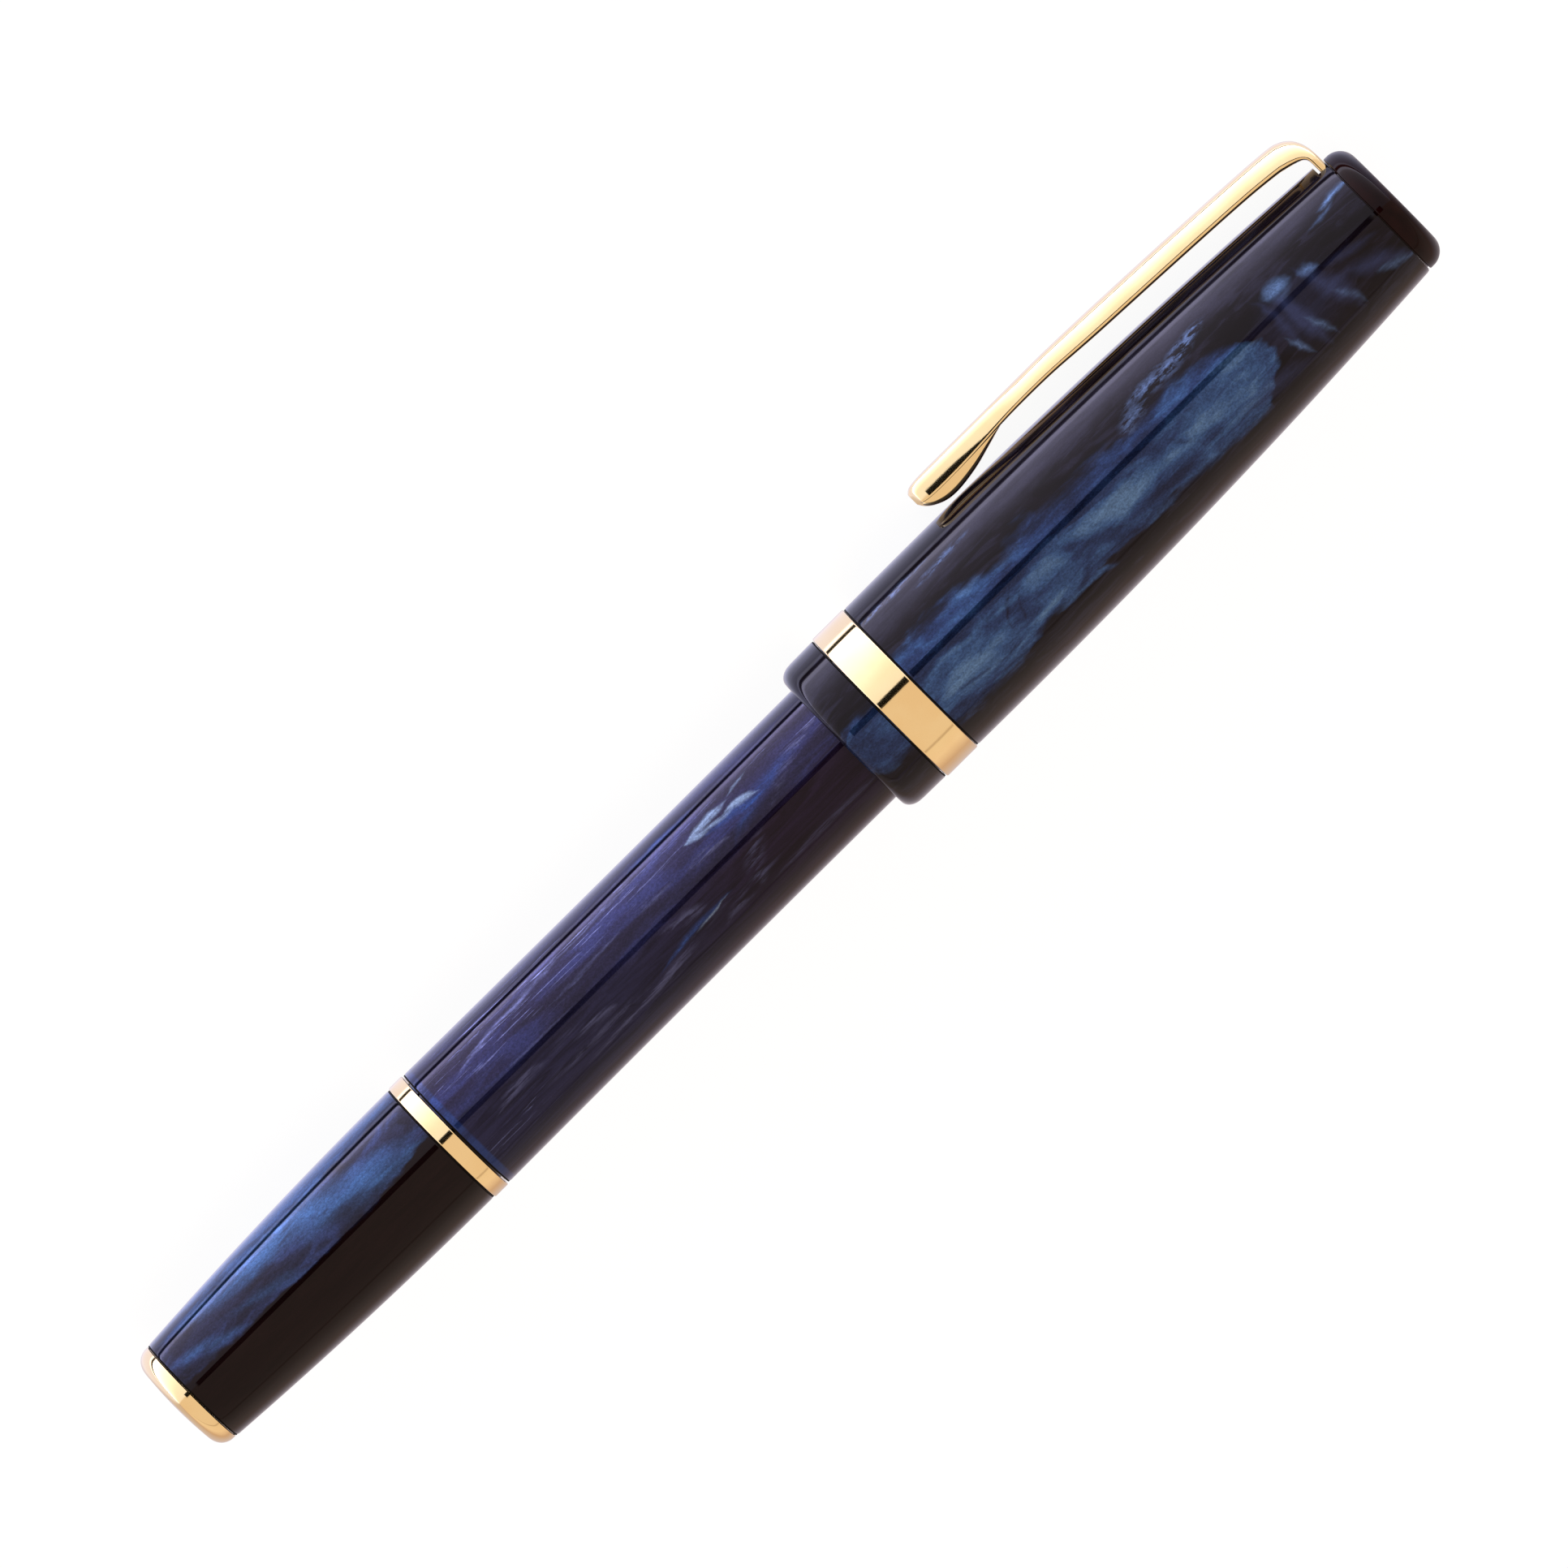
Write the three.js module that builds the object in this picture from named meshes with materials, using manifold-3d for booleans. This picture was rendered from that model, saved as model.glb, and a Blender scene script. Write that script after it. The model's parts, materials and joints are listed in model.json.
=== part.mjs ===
// A capped cartridge/converter fountain pen, lying on its side on a table.
// The pen's axis runs along X, from the tail's end at x = 0 to the flat top of the cap.
// It lies as such a pen comes to rest: rolled over until the clip and the cap band touch the table.
import * as THREE from "three";
import { mergeVertices } from "three/addons/utils/BufferGeometryUtils.js";
import Module from "manifold-3d";

const wasm = await Module();
wasm.setup();

// ---- Driving dimensions, in millimetres; every x is measured from the tail's end ----

const LENGTH = 138; // overall, capped
const GAP = 0.15; // between pieces that are fixed to each other
const FIT = 0.25; // between pieces that move on each other

const JEWEL_END = 1.7; // tail jewel: x = 0 to here
const TAIL_END = 30.1; // marbled tail piece
const TAIL_RING_END = 31.7;
const BARREL_END = 82.6;
const LIP_START = 75.7; // open end of the cap
const LIP_END = 79.7;
const BAND_END = 83.25;
const CAP_END = 135.9; // the cap tube's upper end, under the finial
const FINIAL_START = 136.1;

const TAIL_RADIUS = 6.02; // at the ring
const TAIL_TAPER = 0.96; // lost by the jewel
const BARREL_RADIUS = 5.96; // at its waist
const BARREL_WAIST_X = 57;
const CAP_RADIUS = 7.67; // at its fullest
const CAP_FULLEST_X = 90.2;
const CAP_TAPER = 1.47; // lost by the cap's upper end
const LIP_RADIUS = 7.57;
const BAND_RADIUS = 7.73;
const RING_RADIUS = 6.1;
const JEWEL_RADIUS = 5.02;
const FINIAL_RADIUS = 6.14;

const LIP_BORE = 6.35; // clears the barrel
const CAP_BORE = 5.55; // above the thread, round the inner cap
const BAND_SEAT = 7.0; // bore of the band, and of the lip's counterbore
const BARREL_BORE = 4.6;
const SECTION_BORE = 3.9;
const INSERT_SEAT = 5.45; // counterbore in the barrel's mouth

const THREAD_PITCH = 0.8;
const THREAD_STARTS = 2; // so the cap rises 1.6 mm a turn
const THREAD_DEPTH = 0.28;

const NIB_TIP_X = 125; // point of the nib
const GRIP_END = 102; // front of the grip section
const CONVERTER_START = 15.4; // back of the twist knob
const CONVERTER_END = 88.3; // mouth of the converter

const CLIP_TIP = 93.3;
const CLIP_HEIGHT = 11.04; // outer face of the clip, from the pen's axis
const CLIP_ROOT_WIDTH = 5.2;
const CLIP_TIP_WIDTH = 4.6;
const CLIP_SHEET = 0.75;
const CLIP_TONGUE_END = 6.85; // where the ring's tongue ends and the sprung arm begins

const SIDES = 32; // of the large turned pieces
const FINE = 20; // of the small ones

// ---- Colours ----

const finish = (color, roughness, metalness) => ({ color, roughness, metalness });
const CAP_RESIN = finish(0x262a3c, 0.12, 0);
const BARREL_RESIN = finish(0x332e58, 0.12, 0);
const TAIL_RESIN = finish(0x2c4070, 0.12, 0);
const DARK_RESIN = finish(0x281614, 0.15, 0);
const GOLD = finish(0xf0c060, 0.18, 1);
const STEEL = finish(0xc8c8cc, 0.3, 1);
const BRASS = finish(0xb89248, 0.35, 1);
const BLACK_PLASTIC = finish(0x101010, 0.4, 0);
const CLEAR_PLASTIC = finish(0xdfe6ea, 0.08, 0);
const GREY_PLASTIC = finish(0x34363a, 0.4, 0);
const SOFT_SEAL = finish(0xd8d4cc, 0.6, 0);

// ---- Shape helpers ----

// A closed mesh as a manifold-3d solid.
function solid(geometry) {
  const bare = geometry.index ? geometry.toNonIndexed() : geometry.clone();
  bare.deleteAttribute("normal");
  bare.deleteAttribute("uv");
  const merged = mergeVertices(bare, 1e-4);
  return new wasm.Manifold(
    new wasm.Mesh({
      numProp: 3,
      vertProperties: merged.attributes.position.array,
      triVerts: new Uint32Array(merged.index.array),
    }),
  );
}

// The BufferGeometry of a manifold-3d solid.
function surface(manifold) {
  const mesh = manifold.getMesh();
  return new THREE.BufferGeometry()
    .setAttribute("position", new THREE.BufferAttribute(mesh.vertProperties, 3))
    .setIndex(new THREE.BufferAttribute(mesh.triVerts, 1));
}

// The height of a helical thread at angle a (0 to 1 of its depth).
function threadWave(x, a) {
  const turns = x / THREAD_PITCH - (THREAD_STARTS * a) / (2 * Math.PI);
  const phase = turns - Math.floor(turns);
  return 1 - Math.abs(2 * phase - 1);
}

// A body turned about the pen's axis. The outline is a closed list of [x, radius] points that runs
// up the outside and back down the bore. A third number is the depth of a thread cut at that point,
// outwards where it is positive.
function turned(outline, sides = SIDES) {
  const points = outline.map(([x, r]) => new THREE.Vector2(r, x));
  const lathe = new THREE.LatheGeometry(points, sides);
  const at = lathe.attributes.position;
  for (let side = 0; side <= sides; side++) {
    const angle = (2 * Math.PI * side) / sides;
    outline.forEach(([x, r, depth], i) => {
      if (!depth) return;
      const grown = r + depth * threadWave(x, angle);
      const k = side * outline.length + i;
      at.setXYZ(k, grown * Math.sin(angle), x, grown * Math.cos(angle));
    });
  }
  return lathe.rotateZ(-Math.PI / 2);
}

// The outline of a turned body from its outside and its bore, both listed from low x to high x.
function hollow(outside, bore) {
  return [...outside, ...[...bore].reverse(), outside[0]];
}

// The outline of a turned body without a bore.
function full(outside) {
  return [[outside[0][0], 0], ...outside, [outside.at(-1)[0], 0]];
}

// Points [x, radiusAt(x)] evenly spaced from one x to another.
function along(from, to, steps, radiusAt) {
  return Array.from({ length: steps + 1 }, (_, i) => {
    const x = from + ((to - from) * i) / steps;
    return [x, radiusAt(x)];
  });
}

// Points of a round corner in an outline, centred on (cx, cr), between two angles in degrees.
function corner(cx, cr, radius, from, to, steps = 3) {
  return Array.from({ length: steps + 1 }, (_, i) => {
    const a = THREE.MathUtils.degToRad(from + ((to - from) * i) / steps);
    return [cx + radius * Math.cos(a), cr + radius * Math.sin(a)];
  });
}

// Thread rows from one x to another on a core of the given radius.
function threaded(from, to, radius, depth) {
  const steps = Math.round(((to - from) / THREAD_PITCH) * 3);
  return along(from, to, steps, () => radius).map((point) => [...point, depth]);
}

// A body lofted through cross-sections with equal numbers of [x, y, z] points, closed at both ends.
function lofted(sections) {
  const count = sections[0].length;
  const index = [];
  for (let s = 0; s + 1 < sections.length; s++)
    for (let i = 0; i < count; i++) {
      const [a, b] = [s * count + i, s * count + ((i + 1) % count)];
      index.push(a, b, a + count, b, b + count, a + count);
    }
  const last = (sections.length - 1) * count;
  for (let i = 1; i + 1 < count; i++) {
    index.push(0, i + 1, i);
    index.push(last, last + i, last + i + 1);
  }
  const points = sections.flat();
  return new THREE.BufferGeometry()
    .setAttribute("position", new THREE.Float32BufferAttribute(points.flat(), 3))
    .setIndex(sixVolumes(points, index) > 0 ? index : index.reverse());
}

// Six times the volume inside a closed mesh, negative where its faces point inwards.
function sixVolumes(points, index) {
  let sum = 0;
  for (let i = 0; i < index.length; i += 3) {
    const [a, b, c] = index.slice(i, i + 3).map((k) => new THREE.Vector3(...points[k]));
    sum += a.dot(b.cross(c));
  }
  return sum;
}

// A round section of a lofted body, in the plane of one x.
function disc(x, radius, height, sides) {
  return Array.from({ length: sides }, (_, i) => {
    const a = (2 * Math.PI * i) / sides;
    return [x, -radius * Math.sin(a), height + radius * Math.cos(a)];
  });
}

const clampedLerp = (a, b, t) => THREE.MathUtils.lerp(a, b, THREE.MathUtils.clamp(t, 0, 1));

// A named mesh.
function part(name, geometry, look) {
  const mesh = new THREE.Mesh(geometry, new THREE.MeshStandardMaterial(look));
  mesh.name = name;
  return mesh;
}

// ---- Outer curves ----

const tailRadius = (x) => TAIL_RADIUS - TAIL_TAPER * ((TAIL_END - x) / (TAIL_END - JEWEL_END)) ** 2;
const barrelRadius = (x) => BARREL_RADIUS + 0.07 * ((x - BARREL_WAIST_X) / 25) ** 2;
const capRadius = (x) =>
  CAP_RADIUS - CAP_TAPER * ((x - CAP_FULLEST_X) / (CAP_END - CAP_FULLEST_X)) ** 2;

// ---- Barrel: tail jewel, tail piece, ring, barrel tube and its threaded insert ----

const TAIL_SPIGOT = 5.15; // radius of the tail's spigot inside the barrel
const TAIL_SPIGOT_END = 38;
const TAIL_BORE = 4.5;
const TAIL_BORE_START = 7.5;
const STUD_RADIUS = 1.4;

function tailJewel() {
  const edge = 1.38;
  const front = JEWEL_RADIUS - edge;
  const outline = full([
    [0, front * 0.5],
    ...corner(edge + 0.04, front, edge, 180, 97, 4),
    [JEWEL_END, JEWEL_RADIUS],
    [JEWEL_END, STUD_RADIUS],
    [4.6, STUD_RADIUS],
  ]);
  return turned(outline);
}

function tailBody() {
  const outside = along(JEWEL_END + GAP, TAIL_END - GAP / 2, 7, tailRadius);
  const shoulder = TAIL_END - GAP / 2;
  const body = turned(
    hollow(
      [
        [JEWEL_END + GAP, STUD_RADIUS + GAP],
        ...outside,
        [shoulder, TAIL_SPIGOT],
        [TAIL_SPIGOT_END, TAIL_SPIGOT],
      ],
      [
        [5, STUD_RADIUS + GAP],
        [5, 0],
        [TAIL_BORE_START, 0],
        [TAIL_BORE_START, TAIL_BORE],
        [TAIL_SPIGOT_END, TAIL_BORE],
      ],
    ),
  );
  return body;
}

function tailRing() {
  const [from, to] = [TAIL_END + GAP / 2, TAIL_RING_END - GAP / 2];
  return turned(
    hollow(
      [
        [from, RING_RADIUS - 0.1],
        [from + 0.12, RING_RADIUS],
        [to - 0.12, RING_RADIUS],
        [to, RING_RADIUS - 0.1],
      ],
      [
        [from, TAIL_SPIGOT + GAP],
        [to, TAIL_SPIGOT + GAP],
      ],
    ),
  );
}

function barrelTube() {
  const from = TAIL_RING_END + GAP / 2;
  return turned(
    hollow(
      [
        ...along(from, BARREL_END - 0.25, 8, barrelRadius),
        [BARREL_END, barrelRadius(BARREL_END) - 0.2],
      ],
      [
        [from, TAIL_SPIGOT + GAP],
        [TAIL_SPIGOT_END + GAP, TAIL_SPIGOT + GAP],
        [TAIL_SPIGOT_END + GAP, BARREL_BORE],
        [73.6, BARREL_BORE],
        [73.6, INSERT_SEAT],
        [BARREL_END, INSERT_SEAT],
      ],
    ),
  );
}

const INSERT_CREST = 4.95; // crest of the thread that the section screws into

function barrelInsert() {
  const outer = INSERT_SEAT - GAP;
  const root = INSERT_CREST + THREAD_DEPTH;
  return turned(
    hollow(
      [
        [73.8, outer],
        [BARREL_END - 0.1, outer],
      ],
      [
        [73.8, root],
        ...threaded(74.6, 77.8, root, -THREAD_DEPTH),
        [BARREL_END - 0.1, root],
      ],
    ),
    FINE,
  );
}

// The trim ring between the barrel's mouth and the section.
function jointRing() {
  const [from, to] = [BARREL_END + GAP, 83.4];
  return turned(
    hollow(
      [
        [from, 5.9],
        [from + 0.1, 6],
        [to - 0.1, 6],
        [to, 5.9],
      ],
      [
        [from, INSERT_CREST],
        [to, INSERT_CREST],
      ],
    ),
  );
}

// ---- Grip section, with the nib, its housing and the feed ----

const COLLAR_START = 83.55; // shoulder that the barrel closes on
const COLLAR_END = 88.7;
const COLLAR_CORE = 5.27;

// The grip narrows to a waist and flares out again at its front rim.
function gripRadius(x) {
  const back = 0.68 * (Math.max(0, 98.6 - x) / 9.9) ** 1.7;
  const flare = 0.3 * (Math.max(0, x - 98.2) / 3.1) ** 2;
  return 4.76 + back + flare;
}

function gripSection() {
  const spigotCore = 4.5;
  return turned(
    hollow(
      [
        [73, spigotCore - 0.15],
        [73.3, spigotCore],
        ...threaded(74.2, 78.2, spigotCore, 0.25),
        [COLLAR_START, spigotCore],
        [COLLAR_START, COLLAR_CORE],
        ...threaded(84.4, 87.6, COLLAR_CORE, THREAD_DEPTH),
        [COLLAR_END - 0.2, COLLAR_CORE - 0.05],
        ...along(COLLAR_END, GRIP_END - 0.6, 8, gripRadius),
        ...corner(GRIP_END - 0.5, gripRadius(GRIP_END - 0.6) - 0.5, 0.5, 60, 0, 2),
      ],
      [
        [73, SECTION_BORE],
        [GRIP_END, SECTION_BORE],
      ],
    ),
    FINE,
  );
}

const HOUSING_RADIUS = 3.72;
const HOUSING_BORE = 3.4;
const NIPPLE_RADIUS = 1.25; // pierces the mouth of the converter
const INK_BORE = 0.6;

function nibHousing() {
  return turned(
    hollow(
      [
        [84.6, 1.05],
        [84.9, NIPPLE_RADIUS],
        [88.9, NIPPLE_RADIUS],
        [88.9, HOUSING_RADIUS],
        [GRIP_END - 0.3, HOUSING_RADIUS],
      ],
      [
        [84.6, INK_BORE],
        [90.4, INK_BORE],
        [90.4, HOUSING_BORE],
        [GRIP_END - 0.3, HOUSING_BORE],
      ],
    ),
    FINE,
  );
}

// The comb feed: a rod that tapers up to the underside of the nib, with fins round it.
const FEED_RADIUS = 2.72;
const FIN_START = 103.4;
const FIN_PITCH = 1.1;
const FIN_COUNT = 8;
const FEED_END = 119.4;

function feed() {
  const taper = (x) => (x - FIN_START) / (FEED_END - FIN_START);
  const radiusAt = (x) => clampedLerp(FEED_RADIUS, 0.5, taper(x) ** 2);
  const heightAt = (x) => clampedLerp(0, 0.62, taper(x) ** 2);
  const section = (x, cut = 0) => disc(x, radiusAt(x) - cut, heightAt(x), 16);
  const sections = [section(90.8), section(FIN_START - 0.5)];
  for (let fin = 0; fin < FIN_COUNT; fin++) {
    const x = FIN_START + fin * FIN_PITCH;
    sections.push(section(x, 0.7), section(x + 0.5, 0.7), section(x + 0.501), section(x + 1.099));
  }
  for (let x = 112.4; x < FEED_END; x += 1.4) sections.push(section(x));
  sections.push(section(FEED_END));
  return lofted(sections);
}

// The nib: a sheet curved round the feed, widest at its shoulders and drawn in to the point.
const NIB_SHEET = 0.32;
const NIB_BASE = 93;
const SHOULDER_X = 107;
const SHOULDER_HALF = 3.95;

function nibStation(x) {
  const back = THREE.MathUtils.smoothstep(x, 102.5, SHOULDER_X);
  const front = THREE.MathUtils.clamp((x - SHOULDER_X) / (NIB_TIP_X - 0.3 - SHOULDER_X), 0, 1);
  const halfWidth = x < SHOULDER_X ? 3.1 + (SHOULDER_HALF - 3.1) * back
    : 0.36 + (SHOULDER_HALF - 0.36) * (1 - front) ** 0.92;
  const curve = x < SHOULDER_X ? 3.2 + 1.0 * back : clampedLerp(4.2, 1.5, front ** 1.4);
  const crown = 3.2 - 2.35 * front ** 1.35;
  return { halfWidth, curve, crown };
}

// One cross-section of the nib: an arc over the crown and back underneath.
function nibSection(x, steps = 8) {
  const { halfWidth, curve, crown } = nibStation(x);
  const reach = Math.asin(Math.min(halfWidth / curve, 0.985));
  const arc = (radius, sign) =>
    Array.from({ length: steps + 1 }, (_, i) => {
      const a = sign * reach * ((2 * i) / steps - 1);
      return [x, radius * Math.sin(a), crown - curve + radius * Math.cos(a)];
    });
  return [...arc(curve, -1), ...arc(curve - NIB_SHEET, 1)];
}

function nib() {
  const stations = [NIB_BASE, 102.5, 103.6, 104.8, 106, SHOULDER_X, 108.5, 110.5, 112.5, 115];
  const sheet = solid(lofted([...stations, 118, 121, 123.4, NIB_TIP_X - 0.3].map((x) => nibSection(x))));
  const hole = new THREE.CylinderGeometry(0.8, 0.8, 6, 16).rotateX(Math.PI / 2);
  const slitLength = NIB_TIP_X - 112.5;
  const slit = new THREE.BoxGeometry(slitLength, 0.16, 6);
  return surface(
    sheet
      .subtract(solid(hole.translate(112.5, 0, 2)))
      .subtract(solid(slit.translate(112.5 + slitLength / 2, 0, 2))),
  );
}

function nibTip() {
  const ball = new THREE.SphereGeometry(0.42, 12, 8);
  return ball.scale(0.9, 1, 1).translate(NIB_TIP_X + 0.2, 0, 0.62);
}

// ---- Converter: clear ink tube, collar, keyed bush, twist knob, piston rod and seal ----

const TUBE_RADIUS = 3.55;
const INK_RADIUS = 2.95;
const TUBE_START = 47;
const COLLAR_RADIUS = 3.98;
const ROD_RADIUS = 1.55;
const SEAL_START = 52.6; // with the piston drawn back
const KNOB_END = 46.5;

function converterTube() {
  return turned(
    hollow(
      [
        [TUBE_START, TUBE_RADIUS],
        [CONVERTER_END - 0.4, TUBE_RADIUS],
        [CONVERTER_END, TUBE_RADIUS - 0.35],
      ],
      [
        [TUBE_START, INK_RADIUS],
        [82.6, INK_RADIUS],
        [83.4, NIPPLE_RADIUS + FIT],
        [CONVERTER_END, NIPPLE_RADIUS + FIT],
      ],
    ),
    FINE,
  );
}

function converterCollar() {
  return turned(
    hollow(
      [
        [38.2, COLLAR_RADIUS - 0.12],
        [38.4, COLLAR_RADIUS],
        [51.3, COLLAR_RADIUS],
        [51.5, COLLAR_RADIUS - 0.12],
      ],
      [
        [38.2, TUBE_RADIUS + GAP],
        [51.5, TUBE_RADIUS + GAP],
      ],
    ),
    FINE,
  );
}

// The bush that keeps the piston rod from turning: its hole has two flats, as the rod has.
function driveBush() {
  const outer = turned(full([[47.3, INK_RADIUS - GAP], [50.4, INK_RADIUS - GAP]]), FINE);
  const flats = keyedRod(46, 52, ROD_RADIUS + FIT, 1.2 + FIT / 2);
  return surface(solid(outer).subtract(flats));
}

// A round bar with two flats, from one x to another.
function keyedRod(from, to, radius, halfFlat) {
  const bar = solid(turned(full([[from, radius], [to, radius]]), FINE));
  const slab = new THREE.BoxGeometry(to - from + 2, 2 * radius + 1, 2 * halfFlat);
  return bar.intersect(solid(slab.translate((from + to) / 2, 0, 0)));
}

function pistonRod() {
  const shaft = keyedRod(17.5, 53.8, ROD_RADIUS, 1.2);
  const head = turned(full([[53.6, 1.9], [55.6, 1.9]]), FINE);
  return surface(shaft.add(solid(head)));
}

function pistonSeal() {
  const lip = INK_RADIUS - 0.12;
  return turned(
    hollow(
      [
        [SEAL_START, lip],
        [SEAL_START + 0.8, lip],
        [SEAL_START + 1.2, lip - 0.3],
        [56.4, lip - 0.3],
        [56.8, lip],
        [57.5, lip],
        [58.1, 1.6],
        [58.1, 0],
        [56, 0],
        [56, 2.05],
      ],
      [[SEAL_START, 2.05]],
    ),
    FINE,
  );
}

function twistKnob() {
  const neck = TUBE_RADIUS - 0.15;
  const grip = 3.6;
  const rows = [[CONVERTER_START, grip - 0.5], [CONVERTER_START + 0.5, grip]];
  for (let x = 18; x < 34; x += 4) {
    rows.push([x, grip], [x + 0.3, grip - 0.25], [x + 1.2, grip - 0.25], [x + 1.5, grip]);
  }
  return turned(
    hollow(
      [
        [CONVERTER_START, 0],
        ...rows,
        [37.9, grip],
        [37.9, neck],
        [KNOB_END, neck],
      ],
      [
        [16.6, 0],
        [16.6, 2.2],
        [40, 2.2],
        [40.2, ROD_RADIUS + FIT],
        [KNOB_END, ROD_RADIUS + FIT],
      ],
    ),
    FINE,
  );
}

// ---- Cap: lip, band, tube, finial, clip, and the sprung inner cap ----

const SPIGOT_RADIUS = 6.85; // the cap tube's spigot, inside the band and the lip
const SPIGOT_START = 77.6;
const CAP_CREST = 5.85; // crest of the cap's own thread
const CROWN_FLOOR = 132.3; // inner face of the cap's end wall
const RECESS_FLOOR = 135.05; // of the recess for the clip ring
const RECESS_RADIUS = 4.85;
const STEM_RADIUS = 2.15;

function capLip() {
  const round = 0.9;
  return turned(
    hollow(
      [
        [LIP_START, LIP_BORE + 0.2],
        [LIP_START, LIP_RADIUS - round],
        ...corner(LIP_START + 1.35, LIP_RADIUS - round, round, 160, 92, 3).map(([x, r]) => [
          LIP_START + 1.35 + (x - LIP_START - 1.35) * 1.4,
          r,
        ]),
        [LIP_END - 0.1, LIP_RADIUS + 0.04],
        [LIP_END, LIP_RADIUS - 0.06],
      ],
      [
        [LIP_START + 0.2, LIP_BORE],
        [77.4, LIP_BORE],
        [77.4, BAND_SEAT],
        [LIP_END, BAND_SEAT],
      ],
    ),
  );
}

function capBand() {
  const [from, to] = [LIP_END + GAP, BAND_END - GAP / 2];
  return turned(
    hollow(
      [
        [from, BAND_RADIUS - 0.16],
        [from + 0.16, BAND_RADIUS],
        [to - 0.16, BAND_RADIUS],
        [to, BAND_RADIUS - 0.16],
      ],
      [
        [from, BAND_SEAT],
        [to, BAND_SEAT],
      ],
    ),
  );
}

const CLIP_NOTCH = CLIP_ROOT_WIDTH + 0.5;

function capTube() {
  const from = BAND_END + GAP / 2;
  const root = CAP_CREST + THREAD_DEPTH;
  const tube = turned(
    hollow(
      [
        [SPIGOT_START, SPIGOT_RADIUS],
        [from, SPIGOT_RADIUS],
        ...along(from, CAP_END, 14, capRadius),
      ],
      [
        [SPIGOT_START, LIP_BORE],
        [83.8, LIP_BORE],
        [84, root],
        ...threaded(85, 86.6, root, -THREAD_DEPTH),
        [88.2, root],
        [92.6, root],
        [93, CAP_BORE],
        [CROWN_FLOOR, CAP_BORE],
        [CROWN_FLOOR, STEM_RADIUS + 0.2],
        [RECESS_FLOOR, STEM_RADIUS + 0.2],
        [RECESS_FLOOR, RECESS_RADIUS],
        [CAP_END, RECESS_RADIUS],
      ],
    ),
  );
  const notch = new THREE.BoxGeometry(2, CLIP_NOTCH, 5).translate(RECESS_FLOOR + 1, 0, 6);
  return surface(solid(tube).subtract(solid(notch)));
}

function finial() {
  const round = 1.6;
  return turned(
    full([
      [132.6, STEM_RADIUS - 0.15],
      [132.8, STEM_RADIUS],
      [FINIAL_START, STEM_RADIUS],
      [FINIAL_START, FINIAL_RADIUS - 0.1],
      [FINIAL_START + 0.12, FINIAL_RADIUS],
      ...corner(LENGTH - round, FINIAL_RADIUS - round, round, 84, 0, 5),
    ]),
  );
}

function clipRing() {
  const [from, to] = [RECESS_FLOOR + GAP, RECESS_FLOOR + GAP + CLIP_SHEET];
  const washer = turned(
    hollow(
      [
        [from, RECESS_RADIUS - FIT],
        [to, RECESS_RADIUS - FIT],
      ],
      [
        [from, STEM_RADIUS + GAP],
        [to, STEM_RADIUS + GAP],
      ],
    ),
    FINE,
  );
  const reach = CLIP_TONGUE_END - 3.5;
  const tongue = new THREE.BoxGeometry(CLIP_SHEET, CLIP_ROOT_WIDTH, reach);
  tongue.translate((from + to) / 2, 0, 3.5 + reach / 2);
  return surface(solid(washer).add(solid(tongue)));
}

// The clip's side view, root to tip: where its outer face and its underside run, as [x, height].
const CLIP_SIDE = [
  [[135.97, 7.05], [135.2, 7.05]],
  [[135.95, 7.7], [135.1, 7.2]],
  [[135.75, 8.4], [134.8, 7.3]],
  [[135.3, 9.0], [134.3, 7.45]],
  [[134.5, 9.6], [133.6, 7.65]],
  [[133.3, 9.93], [132.7, 7.88]],
  [[129, 10.22], [129, 8.22]],
  [[125.1, 10.46], [125.1, 8.47]],
  [[121.2, 10.61], [121.2, 8.62]],
  [[117.3, 10.76], [117.3, 8.78]],
  [[113.4, 10.92], [113.4, 8.95]],
  [[109.3, CLIP_HEIGHT], [109.3, 9.18]],
  [[105.5, CLIP_HEIGHT], [105.5, 9.22]],
  [[103, CLIP_HEIGHT], [103, 9.05]],
  [[101, CLIP_HEIGHT], [101.2, 8.77]],
  [[99.4, CLIP_HEIGHT], [99.6, 8.42]],
  [[97.6, CLIP_HEIGHT], [97.8, 8.05]],
  [[96, CLIP_HEIGHT], [96.2, 7.93]],
  [[94.8, CLIP_HEIGHT], [94.9, 8.05]],
  [[93.9, 10.9], [94, 8.45]],
  [[CLIP_TIP + 0.12, 10.5], [CLIP_TIP + 0.15, 9.2]],
];

// Half the clip's width at a given x: it narrows evenly from the root, and its tip is round.
function clipHalfWidth(x) {
  const even = clampedLerp(CLIP_TIP_WIDTH, CLIP_ROOT_WIDTH, (x - CLIP_TIP) / 42) / 2;
  const toTip = THREE.MathUtils.clamp((x - CLIP_TIP) / 1.5, 0.02, 1);
  return even * Math.sqrt(1 - (1 - toTip) ** 2 * 0.85);
}

// How wide the underside is, as a share of the top: the foot under the tip is a narrow keel.
const undersideShare = (x) => clampedLerp(0.55, 0.96, (x - 98) / 7);

// A cross-section of the clip: flat flanks, and a top crowned between rounded edges.
function clipSection([[outX, outZ], [inX, inZ]], inset = 0) {
  const half = clipHalfWidth(outX) - inset;
  const low = half * undersideShare(outX);
  const outline = [
    [low, 0], [half, 0.5], [half, 0.8], [half * 0.78, 0.95], [0, 1],
    [-half * 0.78, 0.95], [-half, 0.8], [-half, 0.5], [-low, 0],
  ];
  return outline.map(([y, t]) => [inX + (outX - inX) * t, y, inZ + (outZ - inZ) * t]);
}

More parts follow.
